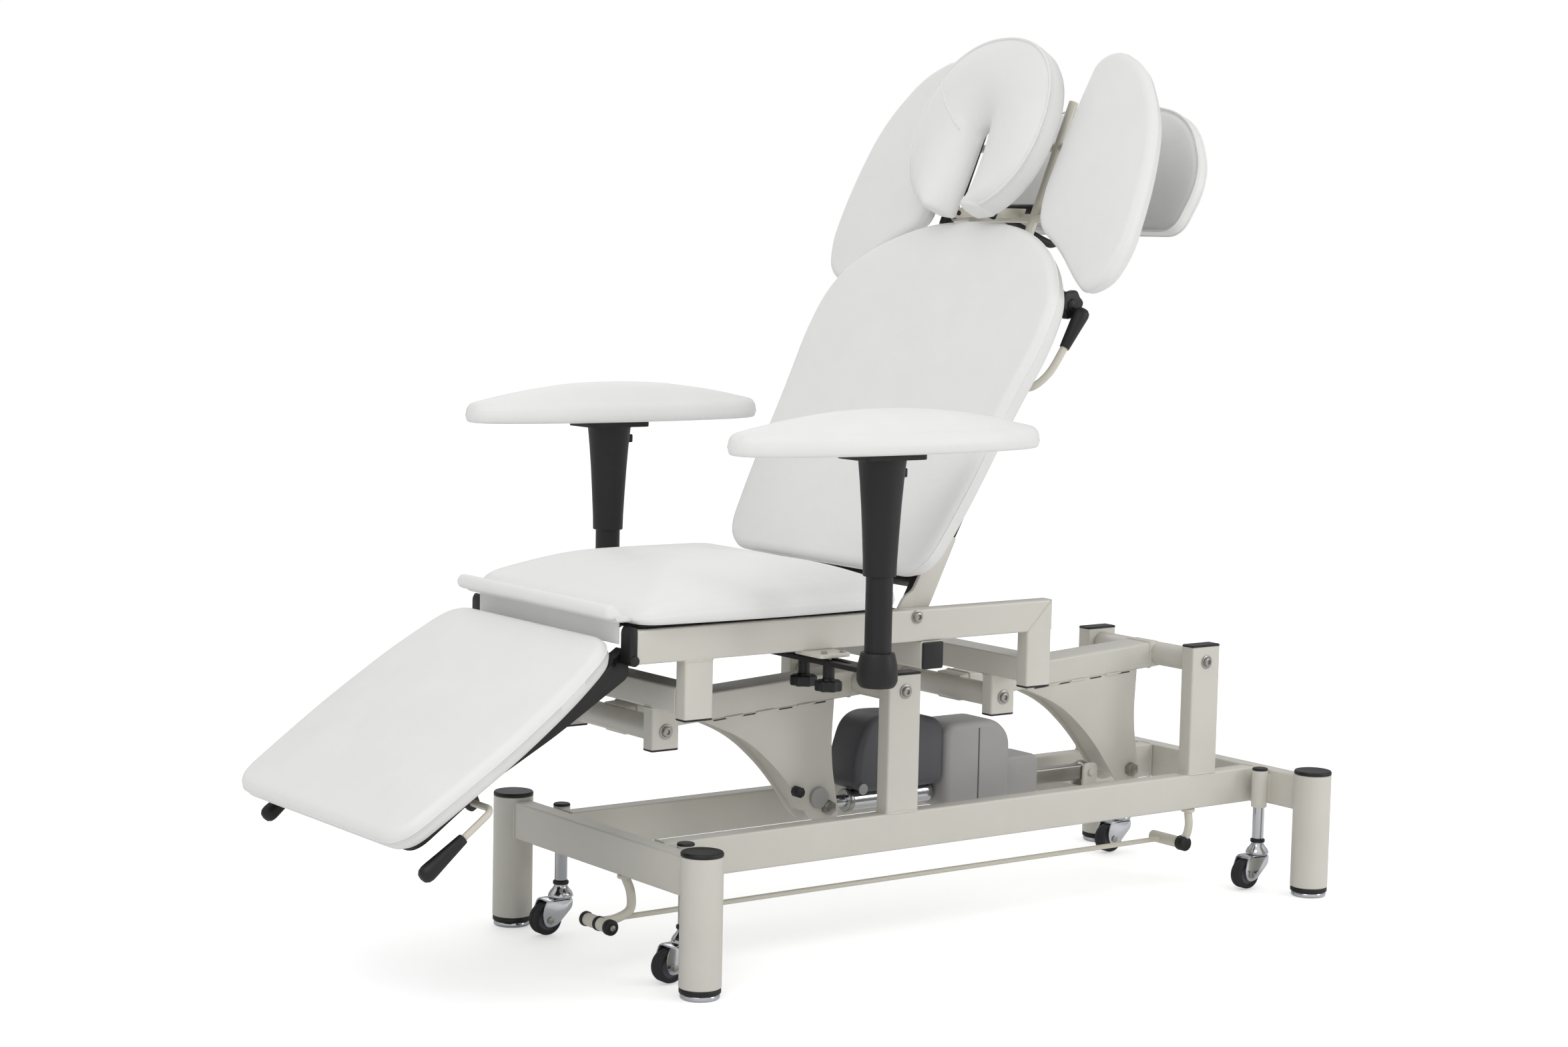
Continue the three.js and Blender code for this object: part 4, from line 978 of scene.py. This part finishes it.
# Matching points on the slot's edge and the outer edge, from one lobe's foot round to the other
def faceStations(count=180):
    f = faceRing
    lead = 0.36
    result = []
    for i in range(count):
        t = i / (count - 1)
        a = math.pi + 0.46 + (2 * math.pi - 0.92) * t
        c, s = math.cos(a), math.sin(a)
        k = (abs(c) ** f["power"] + abs(s) ** f["power"]) ** (-1 / f["power"])
        outer = Vector((f["halfX"] * k * c, f["halfY"] * k * s))
        r = f["slot"]
        if t < lead:
            u = t / lead
            inner = Vector((-f["halfX"] + 8 + (f["halfX"] - 8 + f["top"] - r) * u, -r - 7 * (1 - u) ** 3))
        elif t > 1 - lead:
            u = (1 - t) / lead
            inner = Vector((-f["halfX"] + 8 + (f["halfX"] - 8 + f["top"] - r) * u, r + 7 * (1 - u) ** 3))
        else:
            b = -math.pi / 2 + math.pi * (t - lead) / (1 - 2 * lead)
            inner = Vector((f["top"] - r + r * math.cos(b), r * math.sin(b)))
        result.append((inner, outer))
    return result


def makeFace():
    stations = faceStations()
    size = len(faceSection)
    points = []

    def ring(inner, outer, shrink, push):
        middle = (inner + outer) / 2
        for u, z in faceSection:
            p = inner + (outer - inner) * u
            p = middle + (p - middle) * shrink
            points.append((p.x - push, p.y, 100 + (z - 100) * (0.35 + 0.65 * shrink)))

    foot = [(0.60, 6), (0.80, 5.4), (0.91, 4), (0.97, 2)]
    for shrink, push in foot:
        ring(*stations[0], shrink, push)
    for inner, outer in stations:
        ring(inner, outer, 1, 0)
    for shrink, push in reversed(foot):
        ring(*stations[-1], shrink, push)
    rows = len(points) // size
    faces = bridge(rows, size) + [tuple(reversed(range(size))), tuple(range((rows - 1) * size, rows * size))]
    return (points, faces), stations


def makeHeadPads():
    f = faceRing
    shape, stations = makeFace()
    place = headPlane @ Matrix.Translation((f["mid"], 0, 0))
    piece("faceCushion", [shape], vinyl, "face_rest", "face_cushion", place, 60)
    rim = [inner.lerp(outer, 0.998) for inner, outer in stations]
    pipingZ, stitchZ = 114.2, 108
    piece("facePiping", [sweep([Vector((p.x, p.y, pipingZ)) for p in rim], 2.5, 10, 0)], vinyl, "face_rest",
          (), place)
    # one sewn pleat, from the slot's top towards the upper left
    inner, outer = min(stations, key=lambda pair: (pair[1].normalized() - Vector((0.55, 0.84))).length)
    seam = [inner.lerp(outer, u).to_3d() + Vector((0, 0, z + 0.1)) for u, z in faceSection[4:13]]
    piece("facePleat", [sweep(seam, 1.7, 8, 4)], vinyl, "face_rest", (), place)
    stitchRow("faceStitches", [(p.x * 1.017, p.y * 1.017, stitchZ) for p in rim], "face_rest", place)
    shapes = [plate("z", [(20, -110, 20), (80, -110, 20), (80, 110, 20), (20, 110, 20)], 66, 71.8)]
    for side in sides.values():
        low, high = span(side, 30, 95)
        shapes.append(plate("z", [(-108, low, 12), (30, low, 4), (30, high, 4), (-108, high, 12)], 66, 71.7))
        ear = [(-144, 56, 6), (-124, 56, 6), (-104, 71, 3), (-116, 71.4, 3), (-144, 68, 6)]
        shapes.append(sidePlate(ear, *span(side, 47, 52)))
        low, high = span(side, 40, 56)
        shapes.append(plate("z", [(-118, low, 4), (-98, low, 4), (-98, high, 4), (-118, high, 4)], 66, 71.6))
        shapes.append(roundBar("y", *span(side, 38, 52), (62, -134), 4, 0.5, 20))
    piece("faceBracket", shapes, blackNylon, "face_rest", "face_bracket", place)
    shelf = mirrored([(190, 240, 30), (290, 262, 90), (396, 190, 90), (420, 60, 60)])
    piece("shelfPad", [padShape(shelf, -174.9, -146, 7, 13, 8)], vinyl, "arm_shelf", "shelf_pad", headPlane,
          60)
    edge = resampled(outline(shelf, 14), 200)
    normals = edgeNormals(edge)
    for level, name in ((-148.6, "shelfPiping"), (-167.5, "shelfPipingRear")):
        piece(name, [sweep([Vector((p.x - n.x * 0.2, p.y - n.y * 0.2, level)) for p, n in zip(edge, normals)],
                           2.2, 10, 0,
              True)], vinyl, "arm_shelf", (), headPlane)
    for name, side in sides.items():
        sleeve = [(8.2, 130), (11, 130), (11.6, 131), (11.6, 196), (11, 197), (8.2, 197), (8.2, 130)]
        shape = moved(along("x", turned(sleeve, 28)), 0, side * 140, 3)
        lug = [(150, 10, 2), (176, 10, 2), (176, 13.6, 1), (150, 13.6, 1)]
        shapes = [shape, sidePlate(lug, *span(side, 134, 190))]
        piece(f"wingHinge_{name}", shapes, blackNylon, f"wing_{name}", (), headPlane)


makeHead()
makeHeadPads()
print("leg, back and head made")


# Armrests: the post stands at x and y, and each clamp knob is this far out from the middle
armrest = {"x": 236, "y": 365, "barInner": 104, "barOuter": 373, "slot": (118, 300),
           "knobs": {"inner": 186, "outer": 248}, "knobZ": 431.5}


def makeArmrests():
    x = armrest["x"]
    slotStart, slotEnd = armrest["slot"]
    for name, side in sides.items():
        y = side * armrest["y"]
        low, high = span(side, armrest["barInner"], armrest["barOuter"])
        shapes = [bar("y", (218, low, 472.2), (231.2, high, 480), 1.2),
                  bar("y", (240.8, low, 472.2), (254, high, 480), 1.2)]
        for a, b in (span(side, armrest["barInner"], slotStart), span(side, slotEnd, armrest["barOuter"])):
            shapes.append(bar("y", (230, a, 472.4), (242, b, 479.8), 0.8))
        piece(f"armBar_{name}", shapes, blackCoat, f"armrest_bar_{name}", f"armrest_bar_{name}")
        boot = [(0, 453.6), (24.4, 453.6), (26.4, 455.4), (28.6, 459), (30.2, 463.5), (30.4, 478), (29, 488),
                (26.2, 500), (25.2, 503.6), (24.4, 504.6), (20, 504.6), (20, 715.6), (0, 715.6)]
        piece(f"armBoot_{name}", [moved(turned(boot, 64), x, y)], blackNylon, f"armrest_bar_{name}")
        outer = [(20.6, 617), (24, 617), (24.7, 617.8), (25.2, 640), (27.2, 680), (29.6, 720), (32.4, 756),
                 (35.2, 784), (36, 788.4), (36, 790), (20.6, 790), (20.6, 617)]
        shape = moved(turned(outer, 64), x, y)
        top = outline([(-57, -38, 10), (57, -38, 10), (57, 38, 10), (-57, 38, 10)], 6)
        plateTop = moved(stack(top, roundedRings(788, 798, 1.6, 3)), x, y)
        piece(f"armSleeve_{name}", [shape, plateTop], blackNylon, f"armrest_sleeve_{name}",
              f"armrest_sleeve_{name}")
        button = [(x + 35.4, y - 6, 2.5), (x + 43.6, y - 6, 2.5), (x + 43.6, y + 6, 2.5),
                  (x + 35.4, y + 6, 2.5)]
        piece(f"armButton_{name}", [stack(outline(button, 5), roundedRings(760.4, 773.8, 2, 3))], blackNylon,
              f"armrest_button_{name}", f"armrest_button_{name}")
        for spot, knobY in armrest["knobs"].items():
            knob = starKnob(21, 16, 7, 11) + [turned([(0, 18), (8.6, 18), (8.9, 19), (8.9, 39.4), (8.2, 40),
                                                      (0, 40)], 28)]
            place = Matrix.Translation((x, side * knobY, armrest["knobZ"]))
            label = f"armrest_knob_{spot}_{name}"
            piece(f"armKnob_{spot}_{name}", knob, blackNylon, label, label, place)
            screw = [turned([(0, 40.2), (4, 40.2), (4, 51), (3.4, 52), (0, 52)], 20)]
            piece(f"armScrew_{spot}_{name}", screw, zincPlate, label, (), place)


makeArmrests()
print("armrests made")

# Floor and light
studio = {"floor": "F4F4F4", "sky": 0.95, "ground": 0.26, "lift": 0.46, "reach": 14, "below": 0.0006,
          "lamps": {"key": ((-2.6, -1.6, 3.2), 2.2, 26), "rim": ((1.2, 3.0, 2.6), 2.2, 12),
                    "glint": ((2.6, -3.0, 1.6), 1.0, 20)}, "aim": (0, 0, 0.6)}


def makeStudio():
    r, z = studio["reach"], -studio["below"]
    mesh = bpy.data.meshes.new("floor")
    mesh.from_pydata([(-r, -r, z), (r, -r, z), (r, r, z), (-r, r, z)], [], [(0, 1, 2, 3)])
    floor = bpy.data.objects.new("floor", mesh)
    paper = surface("paleStudioFloor", studio["floor"], 0.6, grain=((3.0, 0.02, "noise"),))
    shader = paper.node_tree.nodes["Principled BSDF"]
    shader.inputs["Emission Color"].default_value = (1, 1, 1, 1)
    seen = node(paper.node_tree, "ShaderNodeLightPath").outputs["Is Camera Ray"]
    glow = node(paper.node_tree, "ShaderNodeMath", {1: studio["lift"]}, {0: seen}, operation="MULTIPLY")
    paper.node_tree.links.new(glow.outputs[0], shader.inputs["Emission Strength"])
    mesh.materials.append(paper)
    bpy.context.scene.collection.objects.link(floor)
    world = bpy.data.worlds.new("studio")
    bpy.context.scene.world = world
    world.use_nodes = True
    tree = world.node_tree
    # the light comes mostly from above and the near side, and the backdrop itself stays plain white
    way = node(tree, "ShaderNodeTexCoord").outputs["Generated"]
    lean = node(tree, "ShaderNodeVectorMath", {1: (-0.08, -0.36, 0.92)}, {0: way}, operation="DOT_PRODUCT")
    glow = node(tree, "ShaderNodeMapRange", {"From Min": -0.5, "From Max": 1.0, "To Min": studio["ground"],
                                             "To Max": studio["sky"]}, {"Value": lean.outputs["Value"]})
    seen = node(tree, "ShaderNodeLightPath").outputs["Is Camera Ray"]
    mixed = node(tree, "ShaderNodeMix", {"B": 1.0}, {"Factor": seen, "A": glow.outputs["Result"]})
    background = tree.nodes["Background"]
    background.inputs["Color"].default_value = (1, 1, 1, 1)
    tree.links.new(mixed.outputs["Result"], background.inputs["Strength"])
    for name, (at, size, power) in studio["lamps"].items():
        light = bpy.data.lights.new(name, "AREA")
        light.size, light.energy = size, power
        lamp = bpy.data.objects.new(name, light)
        lamp.location = at
        lamp.rotation_euler = (Vector(studio["aim"]) - Vector(at)).to_track_quat("-Z", "Y").to_euler()
        bpy.context.scene.collection.objects.link(lamp)
    bpy.context.scene.view_settings.view_transform = "Standard"


makeStudio()
print("studio made")
